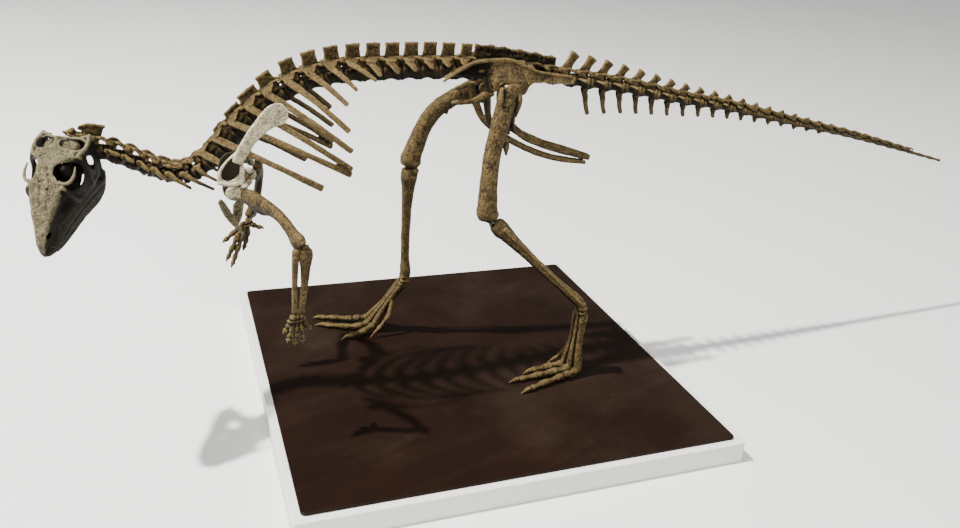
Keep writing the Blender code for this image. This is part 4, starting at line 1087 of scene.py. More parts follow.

# %% Brow rods and painted shade on the head
BROW_ROD = ((0.515, 0.1, 0.112), (0.518, 0.146, 0.108), (0.488, 0.184, 0.112),
            (0.425, 0.2, 0.122), (0.352, 0.194, 0.14))


def brow_skins(side):
    """The thin rod that crosses the top of the eye's opening, tapering backwards."""
    return [skull_rod([(f, l * side, d) for f, l, d in BROW_ROD],
                      ((0, 2.6, 1.8), (0.3, 2, 1.5), (0.65, 1.6, 1.3), (1, 0.7, 0.7)))]


def cheek_painted_shade(corners):
    """Painted shade on the cheek: one below the roof's edge by more than a twentieth of the skull,
    nought above it.
    """
    f, _, d = ((corners - CONDYLE) @ HEAD_AXES.T / SKULL_LENGTH).T
    edge = np.interp(f, np.array(ROOF)[:, 0], np.array(ROOF)[:, 3])
    return np.clip((edge - 0.01 - d) / 0.022, 0, 1)


def painted_shade_all_over(corners):
    """Painted shade of nine tenths everywhere."""
    return np.full(len(corners), 0.9)


print("stain at the brow and cheek:", cheek_painted_shade(in_head([(0.4, 0, 0.17), (0.4, 0.2, 0)])))

# %% Teeth
TEETH = 15


def tooth(spot, tall, point):
    """A small leaf: a flat block that narrows towards the cutting edge."""
    corners, faces = block((0, 0, 0), (1.15, 0.7, tall), None, 2.2, 7, 10)
    share = (1 + point * corners[:, 2:] / tall) / 2
    corners[:, :2] = corners[:, :2] * (1 - 0.45 * share ** 2)
    return corners @ BLOCK_AXES + in_head(spot), faces


def upper_teeth():
    """Both upper rows, set into the sheet's lower margin."""
    skins = []
    for side in SIDES:
        for f in np.linspace(0.44, 0.79, TEETH):
            out = float(rounded_table(f, MARGIN, 2)) - 0.024
            skins.append(tooth((f, out * side, float(rounded_table(f, MARGIN, 1)) - 0.01), 2.6, -1))
    return skins


def lower_teeth(side):
    """One lower row, standing on the jaw's upper edge."""
    skins = []
    for f in np.linspace(0.4, 0.76, TEETH):
        out = float(rounded_table(f, JAW, 1)) - 0.014
        skins.append(tooth((f, out * side, float(rounded_table(f, JAW, 2)) + 0.01), 2.3, 1))
    return skins


print("teeth:", len(upper_teeth()), "above and", 2 * len(lower_teeth(LEFT)), "below")

# %% [markdown]
# ## Shoulders, arms and hands
# The shoulder blade is a long thin strap that widens at both ends. It is laid over the ribs
# and never touches them. The coracoid is a dished round plate with a nerve hole; a grid with
# a round mask cuts both outline and hole. Long bones flare at their joints and are slim in
# the middle; the upper arm also has a thin crest that leans forward.

# %% Shoulder blade
SCAPULA = {
    LEFT: [(-276, -97, 417), (-290, -100, 416), (-304, -103, 407), (-319, -105, 391),
           (-330, -103, 373), (-337, -100, 357), (-342, -96, 340)],
    RIGHT: [(-262, 34, 404), (-276, 37, 403), (-289, 40, 394), (-301, 40, 378),
            (-311, 38, 360), (-317, 35, 344), (-321, 31, 328)]}


def disc(centre, wide, tall, bow, thickness, hole):
    """A dished round plate: a square grid, masked to a circle, lifted by bow times 1 - r^2."""
    a, b = np.meshgrid(np.linspace(-1, 1, 44), np.linspace(-1, 1, 44), indexing="ij")
    r = np.sqrt(a ** 2 + b ** 2)
    out = np.cross(wide, tall)
    points = (centre + a[..., None] * wide + b[..., None] * tall
              + unit(out) * (bow * (1 - r ** 2))[..., None])
    nerve = (a - hole[0]) ** 2 + (b - hole[1]) ** 2 < 0.011
    return plate(points, thickness * (0.75 + 0.55 * r ** 3), (r < 1) & ~nerve)


def scapula_skins(side):
    """The strap and, at its foot, a cup framed by two limbs, a sill and the joint's knob."""
    line = np.array(SCAPULA[side], float)
    blade = tube(line, ((0, 6, 1.3), (0.05, 10.8, 1.4), (0.16, 13.2, 1.5), (0.33, 10.2, 1.6),
                        (0.55, 7.2, 1.9), (0.72, 6.8, 2.2), (0.8, 6, 2.2)),
                 (-0.7, 0, 0.7), 3.2, 0.4, 1.2)
    foot = line[-1]
    middle = foot + at(-1.5, side * 9, 12)
    wide, tall = unit(at(0.94, 0, -0.34)), unit(at(0.34, 0, 0.94))
    cup = disc(middle, wide * 13.5 * side, tall * 19, -3, 2, (3, 3))
    fork = foot + at(9.5, -side, 34)
    fore = tube([fork, foot + at(-5.5, -side, 21), foot + at(-14, 0, 7),
                 foot + at(-13.5, side, -6)],
                ((0, 3.4, 1.8), (0.3, 1.5, 1.6), (0.7, 1.6, 2.4), (1, 2.8, 4)), ACROSS, 2.3)
    rear = tube([fork, foot + at(11, -side, 22), foot + at(11.5, 0, 8),
                 foot + at(10, 0, -6)],
                ((0, 3.4, 1.8), (0.3, 2.6, 2.2), (0.7, 2.4, 3), (1, 4.6, 5)), ACROSS, 2.3)
    socket = ball(foot + at(13, -side, -9), (5.4, 4.6, 5))
    sill = tube([foot + at(-14, 0, -4), foot + at(-3, -side, -7),
                 foot + at(11, 0, -5)],
                ((0, 2.8, 4), (0.5, 3, 2.8), (1, 4.6, 5)), UP, 2.3)
    return [blade, cup, fore, rear, socket, sill]


def scapula_painted_shade(side):
    """Painted shade in the deep cup at the blade's foot: one from 5 mm behind its rim."""
    def stain_and_shade(corners):
        end = SCAPULA[side][-1]
        depth = (corners[:, 1] - end[1]) * side
        return np.clip((depth - 2) / 3, 0, 1) * (corners[:, 2] < end[2] + 36)
    return stain_and_shade


print("skins in a shoulder blade:", len(scapula_skins(LEFT)))

# %% Coracoid
CORACOID = {LEFT: (-341, -80, 319), RIGHT: (-319, 12, 304)}
CORACOID_RADIUS = 15


def coracoid_skins(side):
    """The dished shell, a boss behind it where the arm hangs, and two knobs at its top."""
    middle = np.array(CORACOID[side], float)
    inward = unit(at(-0.62, -0.76 * side, -0.2))
    wide = unit(np.cross(inward, UP))
    tall = np.cross(wide, inward)
    shell = disc(middle, wide * CORACOID_RADIUS, tall * CORACOID_RADIUS * 0.92, 3.4 * side, 4.6,
                 (0.3, -0.25))
    knobs = [ball(middle + wide * a + tall * b - inward, size)
             for a, b, size in ((-7, 9, (7.4, 4.6, 5.8)), (7, 8, (7, 4.4, 5.6)))]
    boss = block(middle + at(4, -side * 11, 1), (13, 6, 9.5), power=2.3)
    return [shell, boss] + knobs


print("coracoid corners:", [len(points) for points, _ in coracoid_skins(LEFT)])

# %% Chest plate
CHEST_PLATE = {
    LEFT: [(-358, -38, 291), (-350, -38, 293), (-334, -36, 262), (-327, -34, 242),
           (-336, -38, 252), (-350, -40, 272)],
    RIGHT: [(-337, -8, 275), (-328, -8, 286), (-322, -10, 282), (-325, -12, 262),
            (-333, -14, 246), (-338, -12, 258)]}


def inside(x, y, outline):
    """Even-odd rule: inside when a level ray crosses the outline an odd number of times."""
    odd = np.zeros(x.shape, bool)
    for (ax, ay), (bx, by) in zip(outline, np.roll(outline, -1, axis=0)):
        crosses = (ay > y) != (by > y)
        slope = (bx - ax) / np.where(by == ay, 1e-9, by - ay)
        odd ^= crosses & (x < ax + (y - ay) * slope)
    return odd


def chest_plate_skins(side):
    """A thin plate cut from a grid in the outline's own plane, thickest at its front edge."""
    outline = np.array(CHEST_PLATE[side], float)
    centre = outline.mean(0)
    _, _, axes = np.linalg.svd(outline - centre)
    flat = (outline - centre) @ axes[:2].T
    smooth = along(np.vstack([flat, flat[:1]]), np.linspace(0, 1, 80))[:-1]
    reach = np.abs(flat).max(0) + 3
    a, b = np.meshgrid(np.linspace(-reach[0], reach[0], 70), np.linspace(-reach[1], reach[1], 34),
                       indexing="ij")
    points = centre + a[..., None] * axes[0] + b[..., None] * axes[1]
    return [plate(points, 2.6 + 0.8 * np.sin(a / 7), inside(a, b, smooth))]


print("faces in a chest plate:", len(chest_plate_skins(LEFT)[0][1]))

# %% Upper arm
SHOULDER = {LEFT: (-328, -97, 319), RIGHT: (-300, 34, 314)}
ELBOW = {LEFT: (-273, -162, 276), RIGHT: (-297, 103, 236)}


def shaft(start, end, bow):
    """Start, middle and end of a long bone, the middle moved by its bow."""
    start, end = np.array(start, float), np.array(end, float)
    return [start, start + (end - start) * 0.5 + np.array(bow, float), end]


def humerus_skins(side):
    """A shaft flared at both ends, a crest in front, a round head and two elbow knuckles."""
    line = shaft(SHOULDER[side], ELBOW[side], (5, -6 * side, 9))
    hint = at(0.3, -0.5 * side, 0.8)
    forward = unit(line[2] - line[0])
    wide = unit(hint - forward * (hint @ forward))
    skins = [tube(line, ((0, 9.5, 5.6), (0.06, 11, 6.4), (0.2, 10.2, 6), (0.4, 8, 5.8),
                         (0.6, 7, 5.6), (0.82, 8.2, 6), (0.95, 11, 6.6), (1, 9.4, 5.6)),
                  hint, 2.4, 0.5)]
    crest = along(line, [0.04, 0.16, 0.28, 0.42]) - wide * [[8.5], [11], [11], [6.5]]
    skins.append(tube(crest, ((0, 2.4, 2.4), (0.3, 3.8, 2.6), (0.65, 4.2, 2.6), (1, 2, 2)),
                      wide, 2.4))
    skins.append(ball(line[0], (6.5, 5.4, 6.2)))
    for shift in (-5.2, 5.2):
        skins.append(ball(line[2] + wide * shift - forward, (4.8, 5.2, 4.8)))
    return skins


print("skins in an upper arm:", len(humerus_skins(LEFT)))

# %% Forearm
WRIST = {LEFT: (-276, -150, 184), RIGHT: (-315, 36, 240)}
ELBOW_GAP = {LEFT: 6, RIGHT: 19}


def forearm(side):
    """Start, direction and spread of the two forearm bones."""
    elbow, wrist = np.array(ELBOW[side], float), np.array(WRIST[side], float)
    down = unit(wrist - elbow)
    hint = (0, 1, 0) if side == LEFT else (-1, 0, 0)
    return elbow, wrist, down, unit(np.cross(down, hint))


def forearm_skins(side, offset, sizes):
    """One of the pair, set off to its side; the thicker one has the elbow's hook above it."""
    elbow, wrist, down, spread = forearm(side)
    start = elbow + down * ELBOW_GAP[side] + spread * offset
    end = wrist + spread * offset * 0.7
    big, slim, end_size = sizes
    skins = [tube(shaft(start, end, spread * offset * 0.15),
                  ((0, big * 0.9, 4.8), (0.07, big, 5.4), (0.28, (big + slim) / 2, 4.4),
                   (0.6, slim, 3.5), (0.9, end_size * 0.95, 4), (1, end_size, 3.8)),
                  spread, 2.3, 0.6)]
    if big > 5:
        skins.append(tube([start + down * 8, start, start - down * 6],
                          ((0, 5.4, 4.2), (0.6, 5, 4), (1, 3.4, 3)), spread, 2.4))
    return skins


print("left forearm:", round(float(np.linalg.norm(forearm(LEFT)[1] - forearm(LEFT)[0])), 1), "mm")

# %% Finger and toe bones
CLAW_STATIONS = ((0, 0.8, 0.9), (0.2, 0.85, 0.95), (0.6, 0.55, 0.6), (1, 0.16, 0.18))
BONE_STATIONS = ((0, 1, 0.95), (0.14, 1.06, 0.95), (0.36, 0.78, 0.7), (0.64, 0.76, 0.7),
                 (0.88, 1.04, 0.9), (1, 0.94, 0.85))


def small_bone(start, end, thick, hint, claw):
    """A finger or toe bone: wide at both ends and pinched between, or a claw that tapers.
    Its stations are in shares of its thickness."""
    gap = unit(end - start) * 0.25
    stations = [(t, thick * a, thick * b) for t, a, b in (CLAW_STATIONS if claw else BONE_STATIONS)]
    if claw:
        line = [start + gap, (start + end) / 2 + UP * thick * 0.35, end]
        return tube(line, stations, hint, 2.2, 0.6, 0.8, 14)
    line = [start + gap, (start + end) / 2, end - gap]
    return tube(line, stations, hint, 2.3, 0.35, 0.8, 16)


def digit(path, shares, sizes, hint):
    """Bones end to end along a curve, the last one a claw, with thin links at the joints."""
    spots = along(path, np.asarray(shares))
    skins = []
    for number in range(len(shares) - 1):
        last = number == len(shares) - 2
        skins.append(small_bone(spots[number], spots[number + 1], sizes[number], hint, last))
        if not last:
            link = sizes[number + 1] * 0.42
            skins.append(ball(spots[number + 1], (link, link, link)))
    return skins


print("skins in a digit:", len(digit([-ALONG, 0 * UP, ALONG], (0, 0.4, 1), (1, 1), UP)))

# %% Hand
PALM = {LEFT: ((-278, -150, 179), (-280, -150, 163)), RIGHT: ((-318, 30, 236), (-324, 26, 220))}
FINGERTIPS = {
    LEFT: [(-296, -156, 158), (-291, -158, 146), (-281, -152, 138), (-270, -144, 134),
           (-257, -136, 146)],
    RIGHT: [(-294, 34, 222), (-323, 36, 190), (-341, 26, 170), (-347, 30, 178), (-350, 36, 204)]}
KNUCKLES = {
    LEFT: [(-288, -153, 168), (-286, -154, 164), (-280, -150, 160), (-273, -147, 161),
           (-269, -144, 166)],
    RIGHT: [(-308, 33, 229), (-316, 33, 218), (-325, 27, 214), (-331, 26, 216), (-334, 30, 222)]}
FINGER_SHARES = ((0, 0.36, 0.68, 1), (0, 0.34, 0.58, 0.8, 1), (0, 0.32, 0.52, 0.7, 0.86, 1),
                 (0, 0.36, 0.62, 0.82, 1), (0, 0.42, 0.74, 1))


def hand_skins(side):
    """Wrist blocks across the end of the forearm, a palm block, and five fingers."""
    start, end = (np.array(spot, float) for spot in PALM[side])
    spread = unit(np.array(KNUCKLES[side][4], float) - np.array(KNUCKLES[side][0], float))
    down = unit(end - start)
    axes = np.stack([spread, np.cross(down, spread), down])
    skins = [block(start + down * 1.4 + spread * shift, (3.4, 4, 3.6), axes, 2.6)
             for shift in (-5.8, -0.2, 5.4)]
    skins.append(block(start + down * 5, (8, 3, 2.4), axes, 2.6))
    for knuckle, tip, shares, across in zip(KNUCKLES[side], FINGERTIPS[side], FINGER_SHARES,
                                            (-8.4, -4.2, 0, 4.2, 8)):
        knuckle, tip = np.array(knuckle, float), np.array(tip, float)
        path = [start + down * 5.4 + spread * across, knuckle, knuckle + (tip - knuckle) * 0.6, tip]
        sizes = np.linspace(4, 3.2, len(shares) - 1)
        skins += digit(path, shares, sizes, spread)
    return skins


print("skins in a hand:", len(hand_skins(LEFT)))

# %% [markdown]
# ## Hips
# The upper hip bone is a long low blade, hollowed on its outer face and thick along its upper
# rim and over the hip socket. It is cut from a fine grid by its outline, with a thickness
# that changes from place to place. The two lower bones sweep back under the tail side by
# side, one rod-like and one strap-like.

# %% Upper hip bone
HIP_MIDLINE, HIP_SKEW = -9, 0.055
ILIUM_OUTLINE = np.array([
    (-72, 445), (-48, 457), (-20, 466), (25, 467), (49, 459), (72, 451), (119, 445), (121, 435),
    (79, 437), (56, 436), (48, 423), (38, 424), (30, 436), (14, 437), (4, 428), (-4, 430),
    (-12, 441), (-42, 446)], float)


def from_midline(side, rows):
    """Rows of (along, out from the hips' slanting midline, up) turned into places."""
    rows = np.array(rows, float)
    return np.stack([rows[:, 0], HIP_MIDLINE + HIP_SKEW * rows[:, 0] - side * rows[:, 1],
                     rows[:, 2]], -1)


def ilium_skins(side):
    """A flared, dished blade: how far out it lies grows downwards, most over the hip joint, and
    towards the front, less a hollow that is deepest midway between its edges."""
    x, z = np.meshgrid(np.arange(-74, 124, 1), np.arange(420, 470, 1), indexing="ij")
    rim = np.interp(x, ILIUM_OUTLINE[:7, 0], ILIUM_OUTLINE[:7, 1])
    floor = np.interp(x, ILIUM_OUTLINE[:6:-1, 0], ILIUM_OUTLINE[:6:-1, 1])
    share = np.clip((z - floor) / np.maximum(rim - floor, 1), 0, 1)
    reach = np.clip((28 - np.abs(x + 4)) / 60 + 0.6, 0, 1)
    lean = 9 + 9 * np.clip((x + 8) / 12, 0, 1)
    out = 28 + 9 * (445 - rim) / 30 + lean * (rim - z) / 30
    out = np.minimum(out, 36.5) + 10 * np.clip(-x, 0, None) / 72
    front = np.clip((2 - x) / 22, 0, 1)
    out = out - 2.4 * np.sin(np.pi * share) * reach - 9 * front * np.clip((1 - share) / 0.3, 0, 1)
    y = HIP_MIDLINE + HIP_SKEW * x - side * out
    thick = (3.2 + 3.2 * np.exp(-((share - 1) / 0.12) ** 2)
             + 3.4 * np.exp(-oval(x, z, (22, 438), (30, 8))))
    outline = along(np.vstack([ILIUM_OUTLINE, ILIUM_OUTLINE[:1]]), np.linspace(0, 1, 160))[:-1]
    blade = plate(np.stack([x, y, z], -1), thick, inside(x, z, outline))
    socket = from_midline(side, [(44, 32, 424), (38, 34, 433), (22, 34.5, 439), (6, 33, 434),
                                 (0, 31, 428)])
    lip = tube(socket, ((0, 3.6, 4.6), (0.3, 3, 3.8), (0.6, 2.8, 3.6), (1, 3.4, 4)), UP, 2.4)
    brow = from_midline(side, [(60, 32, 442), (40, 35, 441), (20, 35.5, 443)])
    ledge = tube(brow, ((0, 1.4, 2), (0.5, 2.2, 3.2), (1, 1.4, 2)), UP, 2.2)
    crest = from_midline(side, [(x, 30 + 9 * (445 - z) / 30 + 10 * max(0, -x) / 72, z - 1)
                                for x, z in ILIUM_OUTLINE[:7]])
    rim_bar = tube(crest, ((0, 1.8, 1.8), (0.2, 2.8, 2.4), (0.6, 3.2, 2.8), (1, 2.2, 2.4)), UP, 2.2)
    arm = from_midline(side, [(-14, 35, 446), (-8, 34.5, 438), (-3, 33, 429)])
    post = from_midline(side, [(40, 32, 446), (42, 35, 436), (42, 34, 425)])
    arms = [tube(arm, ((0, 2.4, 1.6), (0.5, 4, 2.8), (1, 4.6, 3.6)), ALONG, 2.3),
            tube(post, ((0, 4, 1.6), (0.5, 4.6, 2.8), (1, 5.4, 3.8)), ALONG, 2.3)]
    return [blade, lip, ledge, rim_bar] + arms


def ilium_dish_and_painted_light(corners):
    """Darker in the dish in front of the hip joint, 5 mm and more below the rim. Over and
    behind the joint the darkening is lifted, a painted lit patch on the blade."""
    rim = np.interp(corners[:, 0], ILIUM_OUTLINE[:7, 0], ILIUM_OUTLINE[:7, 1])
    dish = (np.clip((rim - 6 - corners[:, 2]) / 4, 0, 1)
            * np.clip((-1 - corners[:, 0]) / 8, 0, 1))
    return dish - 0.8 * np.clip((corners[:, 0] + 2) / 6, 0, 1)


print("skins in an upper hip bone:", len(ilium_skins(LEFT)))

# %% Lower hip bones
def pubis_skins(side):
    """The rod in front, which turns back under the tail; the right one has lost its front end."""
    rod = from_midline(side, [(-58, 37, 415), (-38, 37, 416), (-22, 36, 418), (-9, 33, 422),
                              (-2, 25, 402), (12, 16, 374), (52, 10, 347), (112, 6, 322),
                              (172, 3.5, 311)])
    rod = along(rod, np.linspace(0 if side == LEFT else 0.2, 1, 13))
    skins = [tube(rod, ((0, 2.2, 2.4), (0.03, 3, 3.2), (0.15, 3.4, 4),
                        (0.25, 3.8, 5), (0.375, 4.2, 5.8), (0.5, 3.2, 5), (0.625, 2.8, 4.4),
                        (0.75, 2.6, 4), (0.875, 2.5, 3.8), (1, 2.2, 3)), ACROSS, 2.2)]
    knob = from_midline(side, [(-3, 32, 424)])[0]
    skins.append(ball(knob, (7, 4.2, 4.4)))
    return skins


def ischium_skins(side):
    """The strap behind, with a tab a third of the way down its front edge."""
    line = from_midline(side, [(38, 29, 420), (36, 22, 394), (50, 15, 367), (94, 8, 344),
                               (178, 3.5, 318)])
    skins = [tube(line, ((0, 7.4, 4.6), (0.08, 7, 3.8), (0.28, 5.6, 2.6), (0.42, 5.2, 2.4),
                         (0.56, 5.6, 2.6), (0.75, 5.6, 2.6), (0.95, 5.2, 2.6), (1, 4.4, 2.2)),
                  (-0.4, 0, 0.9), 2.5)]
    tab = from_midline(side, [(40, 17, 378), (36, 15, 370), (38, 13, 362)])
    skins.append(tube(tab, ((0, 4.4, 1.6), (0.5, 3.6, 1.4), (1, 2.4, 1.1)), ALONG, 2.4))
    return skins


print("skins in the lower hip bones:", len(pubis_skins(LEFT)), len(ischium_skins(LEFT)))

# %% [markdown]
# ## Legs
# Thigh bones carry a ball that turns inward into the hip, a tall flat crest outside it, a
# hanging spur halfway down for the tail muscle, and two rounded knuckles at the knee. The
# shin is a stout bone with a thin splint beside it. Below the ankle three long bones stay
# apart and hold up the toes, each toe bone pinched in its middle and each claw bluntly pointed.

# %% Thigh
HIP = {LEFT: (20, -54, 432), RIGHT: (20, 44, 421)}
KNEE = {LEFT: (-3, -62, 255), RIGHT: (-83, 62, 298)}
SPUR_REACH = {LEFT: 10, RIGHT: 5}
THIGH_BOW = {LEFT: (-8, 0, 0), RIGHT: (-19, 0, 17)}


def femur_skins(side):
    """Shaft, neck and ball, outer crest with two edges, hanging spur, ridge and knee knuckles."""
    line = np.array(shaft(HIP[side], KNEE[side], THIGH_BOW[side]))
    skins = [tube(line, ((0, 11, 6.6), (0.04, 13.6, 8.2), (0.12, 13.8, 9), (0.25, 12.6, 9.6),
                         (0.5, 12.2, 9.8), (0.72, 12.4, 10.4), (0.88, 14, 12),
                         (0.96, 14.4, 12.6), (1, 12.6, 11)), ALONG, 2.3, 0.4)]
    head = np.array([HIP[side][0] - 4, HIP[side][1] + side * 13, HIP[side][2] - 6], float)
    neck = line[0] + at(-1, 0, -10)
    skins.append(tube([neck, (neck + head) / 2 + UP * 1.5, head], ((0, 8, 7.5), (0.6, 6.4, 6.2),
                                                                  (1, 7, 7)), ALONG, 2.2))
    skins.append(ball(head, (8, 7.4, 8)))
    crest = line[0] + at(3, -side * 4.5, -8)
    skins.append(tube([crest + UP * 15, crest - UP * 2, crest - UP * 22],
                      ((0, 8.6, 3.6), (0.4, 11.4, 4.2), (1, 5.4, 2.8)), ALONG, 2.5))
    for x, tall in ((-13.5, 3), (12, -2)):
        skins.append(tube([line[0] + at(x, -side * 5, tall),
                           line[0] + at(x * 1.05, -side * 6, -14),
                           line[0] + at(x * 0.85, -side * 4, -36)],
                          ((0, 3, 3.4), (0.5, 3.6, 4.4), (1, 1.6, 1.8)), ALONG, 2.2))
    middle, forward = along(line, [0.47])[0], heading(line, [0.47])[0]
    back = middle + at(11.5, side * 2, 2)
    reach = SPUR_REACH[side]
    spur = [back + UP * 22, back + at(reach * 0.5, 0, 13),
            back + at(reach * 0.8, 0, 3), back + at(reach * 0.9, 0, -8)]
    skins.append(tube(spur, ((0, 3.2, 2.2), (0.35, 5.6, 2.6), (0.7, 4.8, 2.2), (1, 2, 1.3)),
                      ALONG, 2.3))
    ridge = [back + UP * 10, back + forward * 18, back + forward * 40]
    skins.append(tube(ridge, ((0, 2.2, 1.4), (0.5, 2.6, 1.6), (1, 1.4, 1)), ALONG, 2.2))
    for across, size in ((-6.4, (12.5, 6.4, 11)), (6.4, (12, 6.4, 10.5))):
        knuckle = line[2] - heading(line, [1])[0] * 6 + at(3.5, across, 0)
        skins.append(ball(knuckle, size))
    return skins


print("left thigh:", round(float(np.linalg.norm(np.subtract(HIP[LEFT], KNEE[LEFT]))), 1), "mm")

# %% Shin
SHIN_SHIFT = {LEFT: (10, 0, -9), RIGHT: (3, 0, -6)}
ANKLE = {LEFT: (148, -92, 120), RIGHT: (-74, 86, 104)}


def shin_line(side):
    """Where the shin's stout bone starts and ends, and the way down."""
    knee, ankle = np.array(KNEE[side], float), np.array(ANKLE[side], float)
    down = unit(ankle - knee)
    start, end = knee + down * 7 + np.array(SHIN_SHIFT[side]) + UP * 4, ankle - down * 5
    return start, end, down


def tibia_skins(side):
    """The stout bone: a bowed shaft, a crest in front, two knuckles above and two below."""
    start, end, down = shin_line(side)
    bow = at(-2, 0, 0)
    line = np.array([start, start + (end - start) * 0.35 + bow, start + (end - start) * 0.7 + bow,
                     end])
    skins = [tube(line, ((0, 11.4, 8.6), (0.04, 12.6, 10), (0.12, 10.6, 8.6), (0.28, 8.2, 6.8),
                         (0.6, 6.8, 6), (0.82, 6.8, 6.8), (0.94, 8.2, 9), (1, 7.8, 8.6)),
                  (-1, 0, -0.1), 2.4, 0.4)]
    crest = [start + at(-9, side, 3), start + down * 14 + at(-10.5, side, 0),
             start + down * 34 + at(-7, side, 0)]
    skins.append(tube(crest, ((0, 3, 2.4), (0.4, 3.4, 2.2), (1, 1.6, 1.6)), ALONG, 2.3))
    for across in (-5, 5):
        skins.append(ball(start + down * 3 + at(6.5, across, 2), (6.6, 5, 6)))
    for across in (-5, 4.6):
        skins.append(ball(end + down + at(-0.8, across, 0), (7.8, 4.6, 5.6)))
    return skins


def fibula_skins(side):
    """The splint on the outer side of the shin."""
    start, end, down = shin_line(side)
    outward = at(0, -side, 0)
    top = start + outward * 12 + at(5, 0, 0) + down * 4
    low = end + outward * 12 + down
    line = np.array([top, (top + low) / 2 - outward * 1.6, low])
    return [tube(line, ((0, 4, 2), (0.07, 4.6, 2.4), (0.25, 2.9, 1.8), (0.6, 2.4, 1.6),
                        (0.9, 2.5, 1.7), (1, 3.2, 2.1)), (-1, 0, 0), 2.4)]


print("left shin:", round(float(np.linalg.norm(shin_line(LEFT)[1] - shin_line(LEFT)[0])), 1), "mm")

# %% Foot
TOE_JOINT = {LEFT: (140, -96, 10), RIGHT: (-114, 122, 10)}
# The joint on the foot, the bend and the tip of each toe, from the inner first to the outer
# fourth.
TOES = {
    LEFT: [((147, -72, 46), (140, -60, 18), (112, -61, 5)),
           ((138, -78, 13), (108, -74, 8), (70, -77, 5)),
           ((142, -90, 12), (102, -92, 8), (40, -95, 5)),
           ((150, -101, 12), (118, -107, 8), (47, -127, 5))],
    RIGHT: [((-97, 89, 38), (-114, 87, 16), (-130, 84, 5)),
            ((-116, 107, 14), (-143, 94, 8), (-176, 88, 5)),
            ((-121, 121, 12), (-150, 116, 8), (-207, 146, 5)),
            ((-119, 138, 12), (-150, 146, 8), (-206, 172, 5))]}


def foot_skins(side):
    """Ankle blocks, three long bones that lie close above and fan out below, a short inner one."""
    ankle = np.array(ANKLE[side], float)
    down = unit(np.array(TOE_JOINT[side], float) - ankle)
    top = ankle + down * 3
    skins = [block(top + down * 1.5 + at(-0.5, across, 0), (7.2, 4.8, 4.2), None, 2.4)
             for across in (-5.4, 4.6)]
    skins += [block(top + down * 8.5 + at(0, across, 0), (6.4, 5, 2.4), None, 2.8)
              for across in (-5, 4.8)]
    middle = np.array(TOES[side][2][0], float)
    for long_joint, _, _ in TOES[side][1:]:
        head = np.array(long_joint, float) - down * 3
        spread = unit(head - middle) * min(np.linalg.norm(head - middle), 8.2)
        root = top + down * 13 + spread * 0.78
        low_middle = middle + (top - middle) * 0.38 + spread
        line = [root, (root + low_middle) / 2, low_middle, head]
        skins.append(tube(line, ((0, 6.6, 4.6), (0.08, 6.8, 4.8), (0.3, 5.6, 4),
                                 (0.65, 5, 3.9), (0.88, 6.2, 5), (1, 6.6, 5.4)),
                          ALONG, 2.4, 0.6))
    joint_spot = np.array(TOES[side][0][0], float)
    start = top + (long_joint - top) * 0.3 + at(-2, 5 * side, 0)
    skins.append(tube([start, (start + joint_spot) / 2 + at(0, side * 2, 0), joint_spot],
                      ((0, 2.2, 2), (0.5, 3, 2.6), (1, 4.2, 3.6)), ALONG, 2.2))
    return skins


print("skins in a foot:", len(foot_skins(LEFT)))

# %% Toes
TOE_SHARES = ((0, 0.55, 1), (0, 0.42, 0.72, 1), (0, 0.36, 0.6, 0.8, 1),
              (0, 0.29, 0.5, 0.67, 0.82, 1))


def toe_skins(side, number):
    """A toe's bones from its joint over the bend to the tip, which rests on the sheet."""
    joint_spot, bend, tip = (np.array(spot, float) for spot in TOES[side][number])
    out = unit(bend - joint_spot)
    start = joint_spot + out * (3 if number else 1.5)
    path = [start, start + (bend - start) * 0.55, bend, bend + (tip - bend) * 0.62,
            np.array([tip[0], tip[1], 1.5])]
    shares = TOE_SHARES[number]
    big = 5.6 if number else 3.6
    sizes = np.linspace(big, big * 0.72, len(shares) - 1)
    skins = digit(path, shares, sizes, ACROSS)
    if number:
        skins.append(ball(joint_spot + out * 0.8, (5.8, 5.2, 5.8)))
    return skins


print("left toe tips:", [toe[2] for toe in TOES[LEFT]])

# %% [markdown]
# ## Materials
# Each finish is worked out from noise and from the hollow and proud values kept with every
# bone. A small class wraps a node socket so that shader sums can be written like sums.
# Photographs could be laid on instead, but these never repeat and can be retuned by number.

# %% A socket that can be added and multiplied
def operator(operation, turned=False):
    """A method that adds one Math node, with its pair turned round for the reflected form."""
    return lambda self, other: self.math(operation, other, turned)


class Value:
    """A number socket in a node tree; operators add Math nodes to the same tree."""

    def __init__(self, tree, socket):
        self.tree, self.socket = tree, socket

    def math(self, operation, other, turned=False):
        """One Math node on this value and another, which is a value or a plain number."""
        node = self.tree.nodes.new("ShaderNodeMath")
        node.operation = operation
        for slot, item in zip(node.inputs, (other, self) if turned else (self, other)):
            if isinstance(item, Value):
                self.tree.links.new(item.socket, slot)
            else:
                slot.default_value = item
        return Value(self.tree, node.outputs[0])

    __add__, __radd__ = operator("ADD"), operator("ADD", True)
    __sub__, __rsub__ = operator("SUBTRACT"), operator("SUBTRACT", True)
    __mul__, __rmul__ = operator("MULTIPLY"), operator("MULTIPLY", True)
    __truediv__, __rtruediv__ = operator("DIVIDE"), operator("DIVIDE", True)

    def held(self):
        """Kept between nought and one."""
        return self.math("MINIMUM", 1).math("MAXIMUM", 0)

    def ramp(self, low, high):
        """Nought below low, one above high, and straight between."""
        return ((self - low) / (high - low)).held()


print("operators:", [name for name in vars(Value) if name.startswith("__r")])

